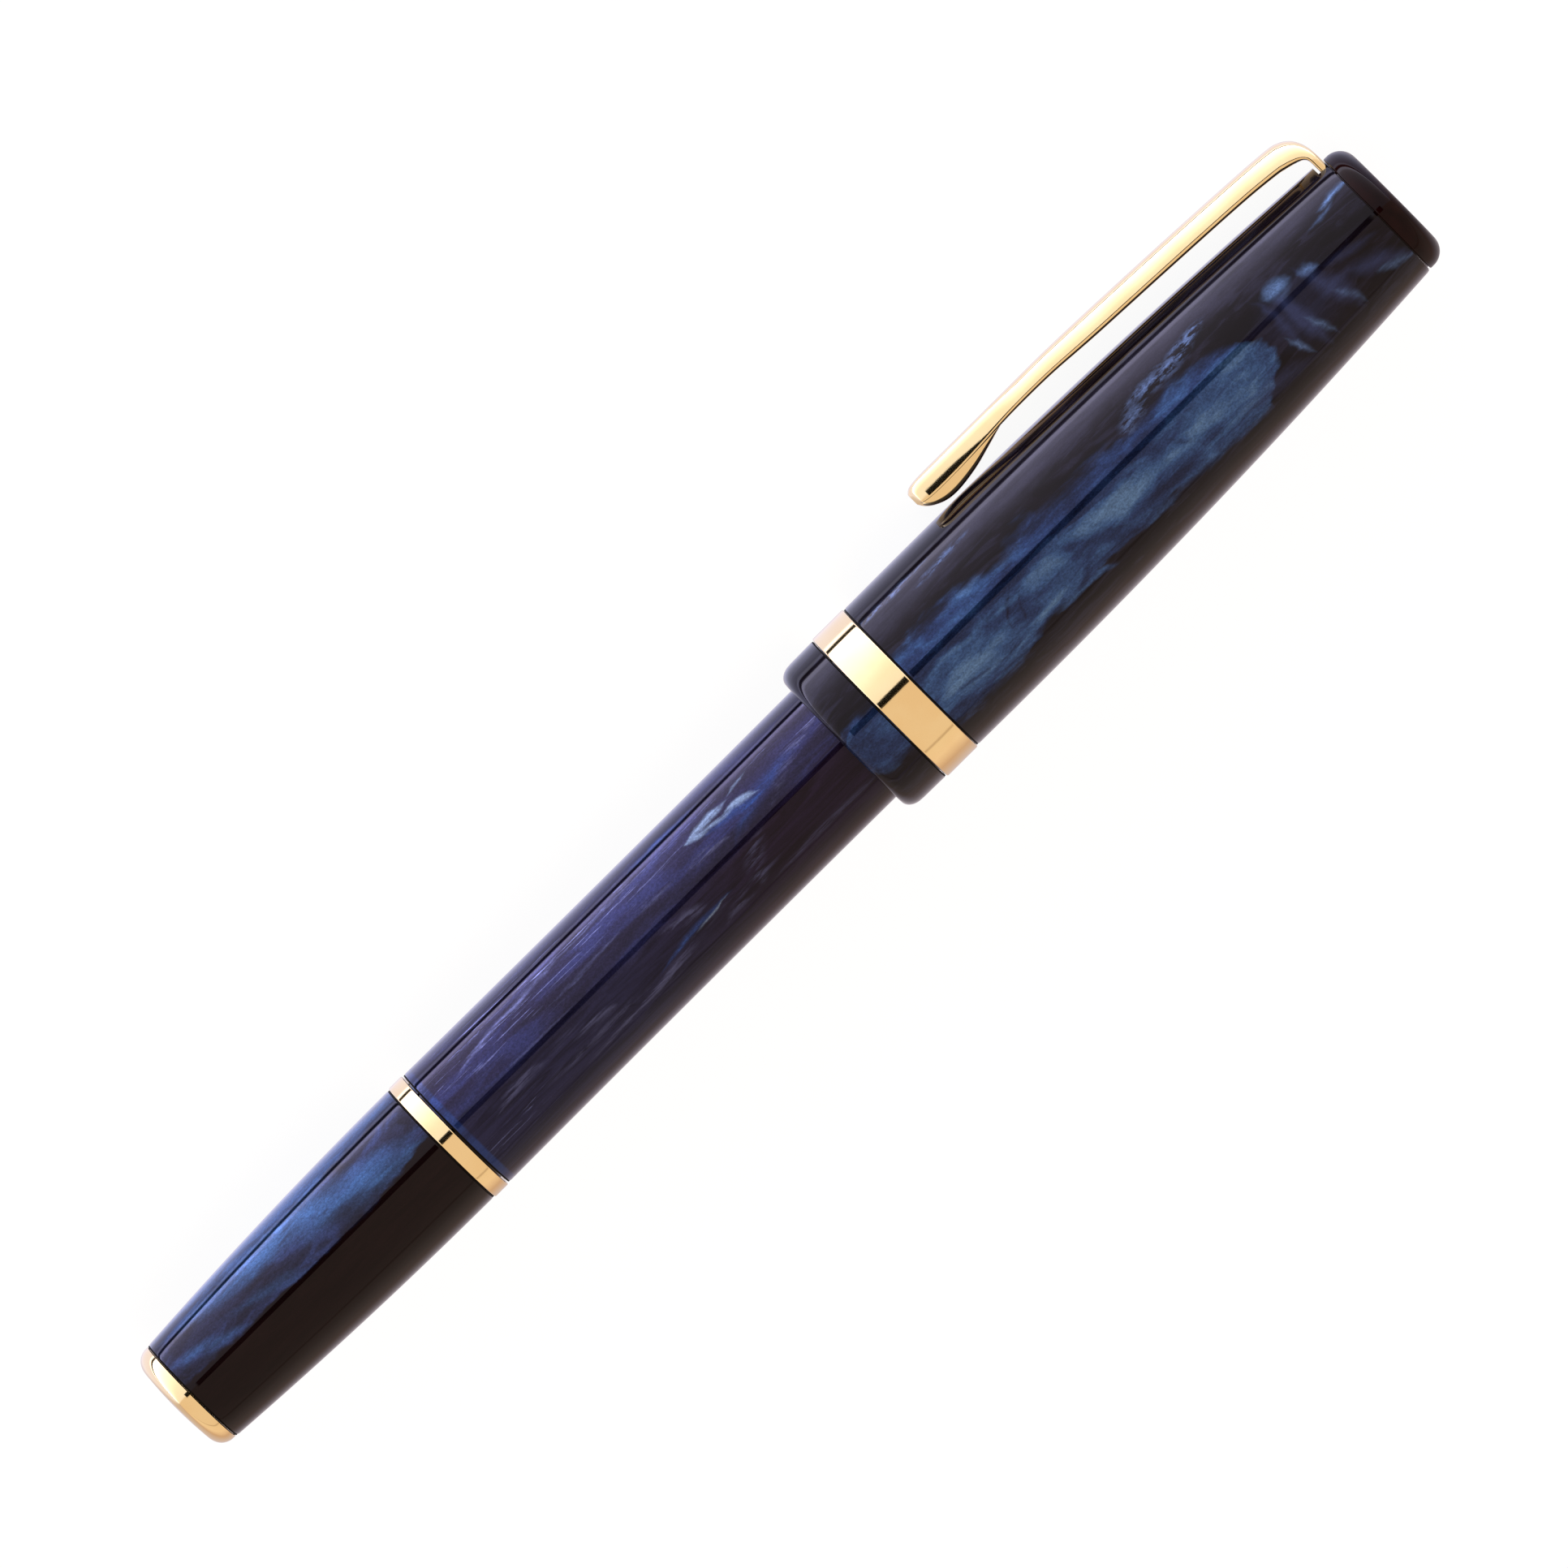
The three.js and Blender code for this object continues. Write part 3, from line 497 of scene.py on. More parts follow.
def cap_resin():
    marble = Marble("cap_resin", 7.4, 0.4)
    n = marble.n
    silk = marble.swirl(0.34, 3.0, 5.0)
    fine = marble.swirl(0.16, 1.2, 2.6, 4)
    fibre = marble.fibres(0.12, 1.8)
    colour = n.gradient(fine, [
        (0.38, srgb(15, 9, 14)),
        (0.52, srgb(21, 15, 24)),
        (0.64, srgb(33, 30, 45)),
    ])
    # The first haze row is painted sheen: a violet-grey band along the clip's side, lighter where the
    # light falls. The second row is resin pattern on the far side.
    haze_and_painted_sheen = [(106, -5.4, 70, 2.2, 1.0), (106, 16, 60, 5, 0.6)]
    drawn = n.ramp(fibre, 0.3, 0.7, 0.6, 1.0)
    colour, _ = marble.lay(colour, srgb(50, 48, 64), haze_and_painted_sheen, drawn, 1.0)
    zone = marble.lenses([
        (78.6, 1.7, 4.4, 3.9, 1),
        (87.5, 1.8, 9.5, 6.2, 1.3),
        (102.8, 1.5, 12, 5.8, 1.25),
        (115.3, 2, 8, 5.9, 1.25, 2),
        (121.6, -0.9, 1.8, 0.9, -0.5, 60),
        (121.2, 5, 2.4, 1.3, -0.5, -30),
        (96.5, 5.9, 5.5, 0.9, -0.8, 2),
        (104.5, 5.4, 5, 0.9, -0.6, 12),
        (110, -0.6, 2.6, 0.7, -0.3, -14),
        (98, 14.5, 13, 3.6, 1, 6),
        (121, -13.5, 9, 3.2, 1, -8),
        (93, -13, 9, 2.6, 0.9, 10),
        (126, 16, 6, 2.6, 0.9, 14),
    ], 0.9, True)
    fray = n.plus(n.times(silk, 0.6), n.times(fibre, 0.4))
    zone = marble.broken(zone, fray, 1.2)
    folds = marble.lenses([
        (86.5, -0.8, 5, 1.1, 0.1),
        (88.4, 3, 6.4, 2.4, 0.5, -4, 0.3),
        (96.8, 1.9, 3.6, 2.2, 0.42, -4, 0.3),
        (97.5, 1.2, 15, 1.3, 0.45, 2),
        (118.5, 0.2, 4.5, 1.6, 0.35, 4),
        (92.5, -0.9, 6, 0.7, -0.12, 2),
        (105.4, 2.2, 4.8, 2, 0.32, 8, -0.4),
        (115.4, 2.3, 6.6, 3.3, 0.42, 3),
        (93.6, 4, 5.4, 0.7, 0.4, -9, 0.8),
        (101.6, 2.6, 5.6, 0.9, -0.22, 31, 0.5),
        (90.6, 1.6, 2.2, 1.3, -0.2, -30),
        (109.6, 4, 4, 0.9, -0.3, 14),
    ])
    mixed = n.plus(n.times(silk, 0.6), n.times(fine, 0.4))
    shade = n.ramp(mixed, 0.36, 0.64, 0, 0.72, smooth=False)
    blue = n.gradient(n.plus(shade, folds), [
        (0.0, srgb(28, 36, 66)),
        (0.3, srgb(38, 55, 96)),
        (0.6, srgb(54, 83, 130)),
        (1.0, srgb(84, 116, 158)),
    ])
    colour = n.mix(zone, colour, blue)
    curls = [
        (92.8, 1.5, 2.3, 0.3, 1, -52, 0.9),
        (93.9, 1.9, 2, 0.22, 0.8, -56, 0.8),
        (99.9, -0.2, 1, 0.5, 0.9, 20),
        (106, 1.4, 6, 0.3, 0.5, -5, 0.8),
        (88, 3.9, 5, 0.35, 0.6, 5, -0.8),
        (102.6, 2.6, 3.8, 0.35, 0.4, 36, 0.6),
        (117, 4.2, 5, 0.35, 0.5, 8, 0.9),
        (112.5, 2.2, 2.6, 0.3, 0.4, 60, 0.8),
    ]
    drawn = n.ramp(fine, 0.36, 0.6, 1.2, 0.4)
    colour, _ = marble.lay(colour, srgb(24, 22, 46), curls, drawn, 1.2)
    veils = [
        (126.4, 1.4, 6, 5, 0.35),
        (124.3, 1.2, 4.2, 0.8, 0.6, 84, 0.5),
        (126, 1.9, 4.4, 1.3, 1.2, 80, 0.5),
        (129.6, 1.9, 4.4, 1.4, 1.1, 74, 0.4),
        (133.4, 3.3, 4.4, 1.5, 1.2, 36, 0.4),
        (120.5, 4.5, 5, 1.4, 0.5, 10),
        (132.4, 0.6, 3, 0.8, 0.6, 20),
    ]
    drawn = n.ramp(fray, 0.4, 0.6, 0.55, 1.1)
    colour, _ = marble.lay(colour, srgb(50, 57, 92), veils, drawn)
    glints = [
        (125.8, -1.5, 1.9, 1.4, 1, 6),
        (129, -0.8, 1.3, 0.8, 0.7, 20),
        (124.3, 3.5, 2, 0.5, 0.6, 72, 0.4),
        (126.8, 3.5, 2.3, 0.6, 0.6, 74, 0.4),
        (130.2, 3.6, 2.2, 0.6, 0.5, 70, 0.4),
        (134.4, 4.9, 2.2, 0.7, 0.9, 30),
        (134.7, -4.7, 2.4, 0.6, 1.2, -8),
        (132.6, -3.8, 2, 0.4, 0.5, -10),
    ]
    drawn = n.ramp(fray, 0.4, 0.6, 0.4, 1.2)
    colour, glint = marble.lay(colour, srgb(92, 120, 168), glints, drawn, 1.4)
    flecks = [
        (115.2, -3.5, 5.6, 1.1, 1.2, -6, -0.3),
        (118.8, -4, 2, 0.7, 1.1, -14),
        (110.8, -2.2, 2.2, 1.1, 0.8, -12),
        (91.8, -5.3, 4, 0.6, 0.8),
        (86, -6.6, 7, 0.5, 0.5),
    ]
    drawn = n.ramp(marble.fibres(0.3, 3.0), 0.4, 0.62, 0, 1.3)
    colour, fleck = marble.lay(colour, srgb(78, 96, 134), flecks, drawn)
    pearl = n.plus(zone, n.plus(glint, fleck), clamp=True)
    return resin(marble, colour, pearl, 0.68)


def barrel_resin():
    marble = Marble("barrel_resin", 5.97, 0.25)
    n = marble.n
    silk = marble.swirl(0.14, 2.2, 3.6)
    fine = marble.swirl(0.08, 1.0, 2.4, 4)
    hair = marble.fibres(0.025, 4.5)
    along = n.parts[0]
    lower = n.gradient(fine, [(0.38, srgb(22, 12, 24)), (0.62, srgb(34, 23, 44))])
    leftward = n.ramp(along, 68, 48)
    lower = n.mix(leftward, lower, n.gradient(fine, [
        (0.38, srgb(24, 22, 44)),
        (0.62, srgb(38, 37, 66)),
    ]))
    upper = n.gradient(n.ramp(silk, 0.38, 0.62, 0, 1, smooth=False), [
        (0.0, srgb(31, 26, 48)),
        (0.5, srgb(37, 34, 64)),
        (1.0, srgb(44, 46, 88)),
    ])
    # The first row is painted light: it lays the lighter upper colour along the clip's side, where
    # the light falls. The other rows are resin pattern, on the far side and on the section.
    violet_and_painted_light = marble.lenses([
        (50, -4.4, 80, 6.2, 2),
        (60, 13, 80, 5, 0.8),
        (96, 0, 14, 40, 0.3),
    ])
    colour = n.mix(marble.broken(violet_and_painted_light, fine, 0.8), lower, upper)
    threads = [
        (40, -4.6, 16, 4.4, 1),
        (54, -4.2, 16, 2.4, 0.5),
        (78, -3.6, 12, 3, 0.5, 8),
        (37, 3.4, 9, 2, 0.4),
    ]
    drawn = n.ramp(hair, 0.56, 0.68)
    colour, _ = marble.lay(colour, srgb(118, 124, 176), threads, drawn, 1.0)
    veils = [
        (37.8, 1.1, 3.6, 0.8, 1, -6, 0.9),
        (45, 1.3, 4.4, 0.8, 1, 10, 0.9),
        (46, 2.8, 8, 0.9, 0.6, 3, 0.6),
        (50, 3.6, 9, 1.1, 0.8, -3, 0.5),
        (55, 2.9, 7, 0.6, 0.6, -6, 0.5),
        (57, 0.9, 2.6, 0.7, 1.1, 12),
        (64.2, 1.4, 3, 1.3, 0.7, -50, 0.9),
        (62, 3.1, 4.6, 0.9, 0.6, -12, 0.6),
        (70, 3.9, 8, 0.6, 0.5),
        (62, -1.55, 3, 0.6, 1.4, 4, 0.8),
        (56, -1.9, 3, 0.5, 0.8, 2),
        (71.5, -2.3, 4.4, 0.8, 0.8, -20, 0.8),
        (73.6, -3.1, 3.2, 0.5, 1.1, -6),
        (55, 14, 12, 2.2, 0.7, 3, 0.8),
        (66, -13, 9, 2, 0.7, -4, 0.8),
    ]
    streak = n.ramp(marble.fibres(0.1, 2.6), 0.42, 0.64, 0.0, 1.1)
    colour, _ = marble.lay(colour, srgb(82, 84, 118), veils, streak)
    silver = [
        (42.5, -4.1, 7.5, 0.36, 1.3, -5, 0.4),
        (37.5, -3.4, 4.5, 0.24, 0.8, -8),
        (52, -4.6, 5, 0.24, 0.8),
        (48.5, -2, 5.5, 0.28, 0.7, -2),
        (42, -0.5, 4.5, 0.24, 0.8, 1),
    ]
    drawn = n.ramp(streak, 0, 1, 0.4, 1.1)
    colour, _ = marble.lay(colour, srgb(88, 92, 136), silver, drawn)
    blue = marble.lenses([
        (59.8, -5.7, 5, 0.6, 1.1),
        (56.8, 2.1, 5, 0.4, 1.1, -5, 0.6),
        (68.5, -2.2, 5.6, 1, 0.6, -14, 0.8),
        (65.6, -2.45, 3.8, 0.6, 1.2, 8, 0.6),
        (40, 11, 8, 0.9, 0.8, 2),
    ], 1.2)
    blue = n.times(blue, n.ramp(streak, 0, 1, 0.5, 1.1), clamp=True)
    rim = n.times(n.ramp(along, 32.66, 32.4, 0, 0.5), n.ramp(silk, 0.4, 0.56, 0.4, 1))
    colour = n.mix(n.plus(blue, rim, clamp=True), colour, srgb(44, 70, 132))
    flames = [
        (63.5, -3.7, 2.8, 0.5, 1.4, -3, 0.5),
        (66.6, -2.8, 2.2, 0.44, 1.5, 11, 0.4),
        (62.1, -3.15, 1.4, 0.42, 0.9, 16),
        (64.1, -2.95, 2.6, 0.3, 0.9, 9),
        (58.8, 2.2, 2.4, 0.2, 0.8, -8),
        (67.3, -4.1, 1.6, 0.25, 0.5, -12),
    ]
    drawn = n.ramp(marble.fibres(0.18, 2.4), 0.32, 0.56, 0.5, 1.1)
    colour, flame = marble.lay(colour, srgb(112, 130, 160), flames, drawn, 1.2)
    pearl = n.plus(n.times(violet_and_painted_light, 0.9), n.plus(blue, flame), clamp=True)
    return resin(marble, colour, pearl)


def tail_resin():
    marble = Marble("tail_resin", 5.6)
    n = marble.n
    silk = marble.swirl(0.3, 2.2, 3.6)
    fine = marble.swirl(0.12, 1.0, 2.4, 4)
    colour = n.gradient(fine, [(0.38, srgb(17, 6, 7)), (0.64, srgb(23, 10, 11))])
    # The first zone row is partly pattern and partly painted light: it lays the blue over the upper
    # half, which is lighter where the light falls. The other rows are pattern on the far side.
    zone = marble.lenses([
        (16, -4.9, 60, 5, 1.4),
        (14, -12, 22, 4, 0.9, 6),
        (20, 13, 14, 3, 0.8, -10),
    ], 0.3)
    zone = marble.broken(zone, fine, 0.3)
    deep_blue_and_painted_light = n.gradient(n.ramp(silk, 0.38, 0.62, 0, 1, smooth=False), [
        (0.0, srgb(27, 24, 38)),
        (0.6, srgb(34, 35, 58)),
        (1.0, srgb(42, 49, 84)),
    ])
    colour = n.mix(zone, colour, deep_blue_and_painted_light)
    veils = [
        (18, -4, 13, 1.7, 0.75, 11),
        (20, -2.5, 12, 1.8, 0.45, 13),
        (9, -4.5, 8, 1.5, 0.8, 12),
        (25, -1.6, 6, 1.6, 0.5, 12),
        # This row lays a painted highlight, a bright blue strip along the top edge, broken up by the
        # drift.
        (18, -6.9, 20, 2.3, 1.7, 1),
        (5.5, -1.8, 4.5, 1.1, 0.5, 16),
        (13, -1.2, 6, 0.9, 0.25, 16),
        (16, -12, 14, 2, 0.9, 10),
        (20, 13, 8, 1.8, 0.9, -10),
    ]
    wander = n.noise(n.stretch(marble.point, (0.2, 0.5, 0.5)), 0.5, 2, color=True)
    drawn = marble.moved(n.stretch(marble.point, (0.16, 1, 1)), wander, 3)
    drift = n.noise(drawn, 1.2, 5, 0.6)
    drawn = n.times(n.ramp(drift, 0.32, 0.68, 0.36, 1.05), zone)
    colour, _ = marble.lay(colour, srgb(58, 91, 140), veils, drawn, 1.0)
    return resin(marble, colour, n.times(zone, 0.9))


# ---- Other materials ----


def polished(name, colour, darker, roughness):
    """A polished metal with faint wear: hairline scratches and slight colour drift."""
    n = material_nodes(name)
    point = n.pen_point()
    hair = n.noise(n.stretch(point, (1, 14, 14)), 1.6, 3, 0.6)
    cloud = n.noise(point, 0.35, 3, 0.5)
    tint = n.ramp(cloud, 0.35, 0.7)
    return n.finish(
        Base_Color=n.mix(tint, colour, darker),
        Metallic=1.0,
        Roughness=n.ramp(hair, 0.3, 0.7, roughness * 0.75, roughness * 1.25),
        Normal=n.bump(hair, 0.02, 0.00002),
    )


def moulded(name, colour, roughness, bump=0.1, gloss=0.4):
    """Moulded plastic with a fine satin skin."""
    n = material_nodes(name)
    point = n.pen_point()
    skin = n.noise(point, 6, 3, 0.6)
    drift = n.noise(point, 0.5, 2, 0.5)
    lighter = tuple(min(1, v * 1.6 + 0.004) for v in colour[:3]) + (1,)
    return n.finish(
        Base_Color=n.mix(n.ramp(drift, 0.3, 0.7, 0, 0.6), colour, lighter),
        Roughness=n.ramp(skin, 0.3, 0.7, roughness * 0.85, roughness * 1.15),
        Specular_IOR_Level=gloss,
        Normal=n.bump(skin, bump, 0.00003),
    )


def dark_gloss():
    """The finial: very dark red-brown, polished like ebonite."""
    n = material_nodes("finial_resin")
    point = n.pen_point()
    drift = n.noise(n.stretch(point, (1, 0.6, 0.6)), 0.6, 4, 0.5)
    smear = n.noise(point, 2.5, 3, 0.6)
    return n.finish(
        Base_Color=n.mix(n.ramp(drift, 0.3, 0.7), srgb(16, 3, 4), srgb(30, 8, 7)),
        Roughness=n.ramp(smear, 0.3, 0.7, 0.3, 0.4),
        Specular_IOR_Level=0.0,
        Coat_Weight=0.7,
        Coat_Roughness=0.02,
        Coat_IOR=COAT_IOR,
    )


def clear_plastic():
    """The converter's tube: clear, with faint flow marks."""
    n = material_nodes("clear_plastic")
    point = n.pen_point()
    flow = n.noise(n.stretch(point, (0.3, 1, 1)), 1.2, 3, 0.5)
    return n.finish(
        Base_Color=n.mix(n.ramp(flow, 0.3, 0.7), (0.96, 0.98, 0.98, 1), (0.9, 0.94, 0.95, 1)),
        Roughness=n.ramp(flow, 0.3, 0.7, 0.04, 0.1),
        Transmission_Weight=0.92,
        IOR=1.46,
    )


GOLD = polished("gold", (0.95, 0.755, 0.42, 1), (0.93, 0.715, 0.38, 1), 0.06)
STEEL = polished("steel", (0.66, 0.68, 0.71, 1), (0.62, 0.64, 0.67, 1), 0.22)
BRASS = polished("brass", (0.72, 0.54, 0.26, 1), (0.6, 0.43, 0.2, 1), 0.3)
BLACK = moulded("black_plastic", (0.012, 0.012, 0.013, 1), 0.32)
SEAL = moulded("soft_seal", (0.7, 0.67, 0.62, 1), 0.6, 0.2)
SEAM = moulded("seam", (0.003, 0.002, 0.001, 1), 0.5, 0.1, 0.05)
CLEAR = clear_plastic()
FINIAL = dark_gloss()
CAP = cap_resin()
BARREL_MARBLE = barrel_resin()
TAIL = tail_resin()

# ---- Barrel, ring, tail and jewel ----

TAIL_BORE = 4.5
BARREL_BORE = 4.6
SPIGOT = 5.15


def tail_jewel():
    corner, dome, bevel = 1.38, 0.2, 0.06
    pin, pin_end = 1.4, 4.6
    face = JEWEL_RADIUS - corner
    outline = [(dome * t * t, face * t) for t in (i / 8 for i in range(9))]
    outline += rounded(corner + dome, face, corner, 176, 96, 12)
    outline += [
        (JEWEL_END - bevel, JEWEL_RADIUS),
        (JEWEL_END, JEWEL_RADIUS - bevel),
        (JEWEL_END, pin),
        (pin_end, pin),
        (pin_end, 0),
    ]
    fit(turned("jewel", outline), "barrel", GOLD, "gold", "tail_jewel")


def tail_piece():
    bore_end, spigot_end = 7.5, span("tail_body")[1]
    outline = [
        (TAIL_START, 0),
        *reversed(shoulder(TAIL_START, TAIL_START + GROOVE, tail_radius(TAIL_START))),
        *along(TAIL_START + 0.3, TAIL_END - 0.3, 32, tail_radius),
        *shoulder(TAIL_END, TAIL_END - GROOVE, tail_radius(TAIL_END)),
        (TAIL_END, SPIGOT),
        (spigot_end, SPIGOT),
        (spigot_end, TAIL_BORE),
        (bore_end, TAIL_BORE),
        (bore_end, 0),
    ]
    fit(turned("tail", outline), "barrel", TAIL, "tail_resin", "tail_body")


def barrel_tube():
    start, end = BARREL
    socket, socket_end = SPIGOT + 0.15, 38.2
    mouth, mouth_end = 5.45, 73.6
    outline = [
        (start, socket),
        *reversed(shoulder(start, start + GROOVE, barrel_radius(start))),
        *along(start + 0.3, end - 0.4, 40, barrel_radius),
        *rounded(end - 0.2, barrel_radius(end) - 0.2, 0.2, 80, 0, 4),
        (end, mouth),
        (mouth_end, mouth),
        (mouth_end, BARREL_BORE),
        (socket_end, BARREL_BORE),
        (socket_end, socket),
    ]
    fit(turned("barrel_shell", outline), "barrel", BARREL_MARBLE, "barrel_resin", "barrel")


def barrel_insert():
    start, end = span("barrel_insert")
    radius, bore = 5.3, 4.95 + THREAD_CREST
    outline = [
        (start, radius),
        (end - 0.1, radius),
        (end, radius - 0.1),
        (end, bore + 0.05),
        *reversed(threaded(74.4, 79.4, bore, -THREAD_CREST)),
        (start, bore),
    ]
    fit(turned("threaded_sleeve", outline, 96), "barrel", BRASS, "brass", "barrel_insert")


def trim_rings():
    band = ring_outline(BAND[0] - 0.08, BAND[1] + 0.03, BAND_RADIUS, BAND_BORE, 0.14)
    fit(turned("band", band), "cap", GOLD, "gold", "cap_band")
    tail_ring = ring_outline(*RING, RING_RADIUS, 5.3, 0.1)
    fit(turned("ring", tail_ring), "barrel", GOLD, "gold", "tail_ring")
    joint = ring_outline(*span("joint_ring"), 6.0, 4.95, 0.1)
    fit(turned("trim", joint), "joint_ring", GOLD, "gold", "joint_ring")


def seams():
    """The dark joints where resin meets metal, set just below the surface."""
    below, depth, bevel = 0.04, 0.3, 0.02
    joints = [
        ("tail_front", TAIL_START, tail_radius(TAIL_START), "barrel", "tail_body"),
        ("tail_back", TAIL_END - GROOVE, tail_radius(TAIL_END), "barrel", "tail_body"),
        ("barrel_back", BARREL[0], barrel_radius(BARREL[0]), "barrel", "barrel"),
        ("lip_back", LIP[1] - GROOVE, LIP_BACK, "cap", "cap_lip"),
        ("cap_front", CAP_START, cap_radius(CAP_START), "cap", "cap_tube"),
    ]
    for name, start, radius, body, node in joints:
        outline = ring_outline(start, start + GROOVE, radius - below, radius - depth, bevel)
        fit(turned("seam_" + name, outline), body, SEAM, "black_plastic", node)


# ---- Section, nib and feed ----


def grip():
    start, end = span("grip_section")
    bore, spigot, collar, collar_start = 3.9, 4.5, 5.27, 83.55
    lip, front = 0.55, grip_radius(end - 0.6)
    outline = [
        (start, bore),
        (start, spigot - 0.2),
        (start + 0.3, spigot),
        *threaded(74.2, 80.4, spigot, THREAD_CREST - 0.03),
        (collar_start, spigot),
        (collar_start, collar),
        *threaded(84.0, 88.2, collar, THREAD_CREST),
        (88.5, collar - 0.05),
        *along(88.7, end - 0.7, 30, grip_radius),
        *rounded(end - lip, front - lip, lip, 80, -20, 8),
        (end - 0.5, bore),
    ]
    section = turned("section", outline, 96)
    fit(section, "section", BARREL_MARBLE, "barrel_resin", "grip_section")


NIB_START, NIB_SHOULDER, NIB_END = 93, 107, 124.7
NIB_SHEET = 0.32
BREATHER, BREATHER_RADIUS = 112.5, 0.8


def smoothstep(value, low, high):
    t = min(1, max(0, (value - low) / (high - low)))
    return t * t * (3 - 2 * t)


def nib_station(x):
    """Half width, radius of curvature and crown height of the nib at x."""
    back = smoothstep(x, 102.5, NIB_SHOULDER)
    front = min(1, max(0, (x - NIB_SHOULDER) / (NIB_END - NIB_SHOULDER)))
    if x < NIB_SHOULDER:
        half, curve = 3.1 + 0.85 * back, 3.2 + back
    else:
        half, curve = 0.36 + 3.59 * (1 - front) ** 0.92, 4.2 - 2.7 * front ** 1.4
    return half, curve, 3.2 - 2.35 * front ** 1.35


def upright(x, side, height):
    """A point of the section's parts, whose nib faces straight up."""
    return Vector((AXIS.x + x * MM, AXIS.y + side * MM, AXIS.z + height * MM))


def nib_sheet():
    steps, stations = 24, 72
    points, count = [], 2 * (steps + 1)
    for i in range(stations + 1):
        x = NIB_START + (NIB_END - NIB_START) * i / stations
        half, curve, crown = nib_station(x)
        reach = math.asin(min(half / curve, 0.985))
        for radius, sign in ((curve, -1), (curve - NIB_SHEET, 1)):
            for j in range(steps + 1):
                a = sign * reach * (2 * j / steps - 1)
                height = crown - curve + radius * math.cos(a)
                points.append(upright(x, radius * math.sin(a), height))
    sheet = mesh_object("nib_sheet", points, capped_faces(stations + 1, count))
    sides, above = 48, 6
    circle = [2 * math.pi * k / sides for k in range(sides)]
    hole = [
        upright(BREATHER + BREATHER_RADIUS * math.cos(a), BREATHER_RADIUS * math.sin(a), z)
        for z in (0, above)
        for a in circle
    ]
    carve(sheet, hole, capped_faces(2, sides))
    slit = [
        upright(x, y, z)
        for x in (BREATHER + 0.1, NIB_END + 1.3)
        for y in (-0.05, 0.05)
        for z in (-1, above)
    ]
    carve(sheet, slit, BOX_FACES)
    fit(sheet, "section", GOLD, "gold", "nib")


def nib_point():
    """The hard pellet on the point, ground smooth."""
    rings, sides = 14, 28
    length, width, height, rise, ahead = 0.5, 0.4, 0.42, 0.62, 0.42
    points = []
    for i in range(rings + 1):
        polar = math.pi * i / rings
        for j in range(sides):
            around = 2 * math.pi * j / sides
            x = NIB_END + ahead - length * math.cos(polar)
            side = width * math.sin(polar) * math.cos(around)
            points.append(upright(x, side, rise + height * math.sin(polar) * math.sin(around)))
    pellet = mesh_object("pellet", points, grid_faces(rings + 1, sides))
    fit(pellet, "section", STEEL, "steel", "nib_tip")


def feed_comb():
    """The feed: a rod tapering up to the nib's underside, with thin fins and a smooth beak."""
    sides, (start, end) = 48, span("feed")
    taper_start, taper_end, tip_height = 103.4, 119.4, 0.62
    fin_start, fin_pitch, fins, fin_depth = 103.2, 0.72, 13, 0.75

    def ring(x, cut=0.0):
        t = min(1, max(0, (x - taper_start) / (taper_end - taper_start))) ** 2
        radius, height = 2.72 - 2.22 * t - cut, tip_height * t
        circle = [2 * math.pi * k / sides for k in range(sides)]
        return [upright(x, radius * math.sin(a), height + radius * math.cos(a)) for a in circle]

    rows = [ring(start), ring(fin_start - 0.1)]
    for fin in range(fins):
        x = fin_start + fin * fin_pitch
        gap_end = x + fin_pitch / 2
        rows += [ring(x, fin_depth), ring(gap_end, fin_depth)]
        rows += [ring(gap_end + 0.001), ring(x + fin_pitch - 0.001)]
    beak = fin_start + fins * fin_pitch + 0.1
    rows += [ring(beak + (end - beak) * k / 10) for k in range(11)]
    points = [point for row in rows for point in row]
    comb = mesh_object("feed_comb", points, capped_faces(len(rows), sides))
    fit(comb, "section", BLACK, "black_plastic", "feed")


# ---- Converter ----


def converter():
    start, end = span("converter_tube")
    bore, radius, mouth_bore, mouth = 2.95, 3.55, 1.5, 3.4
    tube = [
        (start, bore),
        (start, radius),
        (end - 4.6, radius),
        (end - 4.4, mouth),
        (end - 0.3, mouth),
        *rounded(end - 0.25, mouth - 0.25, 0.25, 80, 0, 4),
        (end, mouth_bore),
        (83.4, mouth_bore),
        (82.6, bore),
    ]
    fit(turned("ink_tube", tube, 96), "converter", CLEAR, "clear_plastic", "converter_tube")
    low, high = span("converter_collar")
    bore, radius, groove, bevel = 3.7, 3.98, 3.88, 0.15
    collar = [
        (low, bore),
        *rounded(low + bevel, radius - bevel, bevel, 180, 90, 3),
        (low + 1.4, radius),
        (low + 1.5, groove),
        (low + 1.8, groove),
        (low + 1.9, radius),
        *rounded(high - bevel, radius - bevel, bevel, 90, 0, 3),
        (high, bore),
    ]
    fit(turned("collar", collar, 96), "converter", STEEL, "steel", "converter_collar")


FLUTES = 24


def flute_wave(_, angle):
    """The depth of the knob's flutes, from 0 to -1."""
    return -abs(math.sin(FLUTES * angle / 2)) ** 0.7


def knob():
    """The twist knob, with fine flutes round its grip."""
    start, end = span("twist_knob")
    grip_start, grip_end = 17.5, 34.9
    radius, neck, neck_start, bore = 3.58, 3.4, 37.9, 2.2
    mouth, mouth_end, flute = 1.8, 40.2, 0.16
    outline = [
        (start, 0),
        (start, 3.0),
        (start + 0.15, 3.3),
        (start + 0.6, radius),
        (grip_start, radius),
        (grip_start + 0.4, radius, flute),
        (grip_end - 0.4, radius, flute),
        (grip_end, radius),
        (neck_start, radius),
        (neck_start, neck),
        (end, neck),
        (end, mouth),
        (mouth_end, mouth),
        (40, bore),
        (16.6, bore),
        (16.6, 0),
    ]
    grip_part = turned("knob_grip", outline, 144, flute_wave)
    fit(grip_part, "knob", BLACK, "black_plastic", "twist_knob")


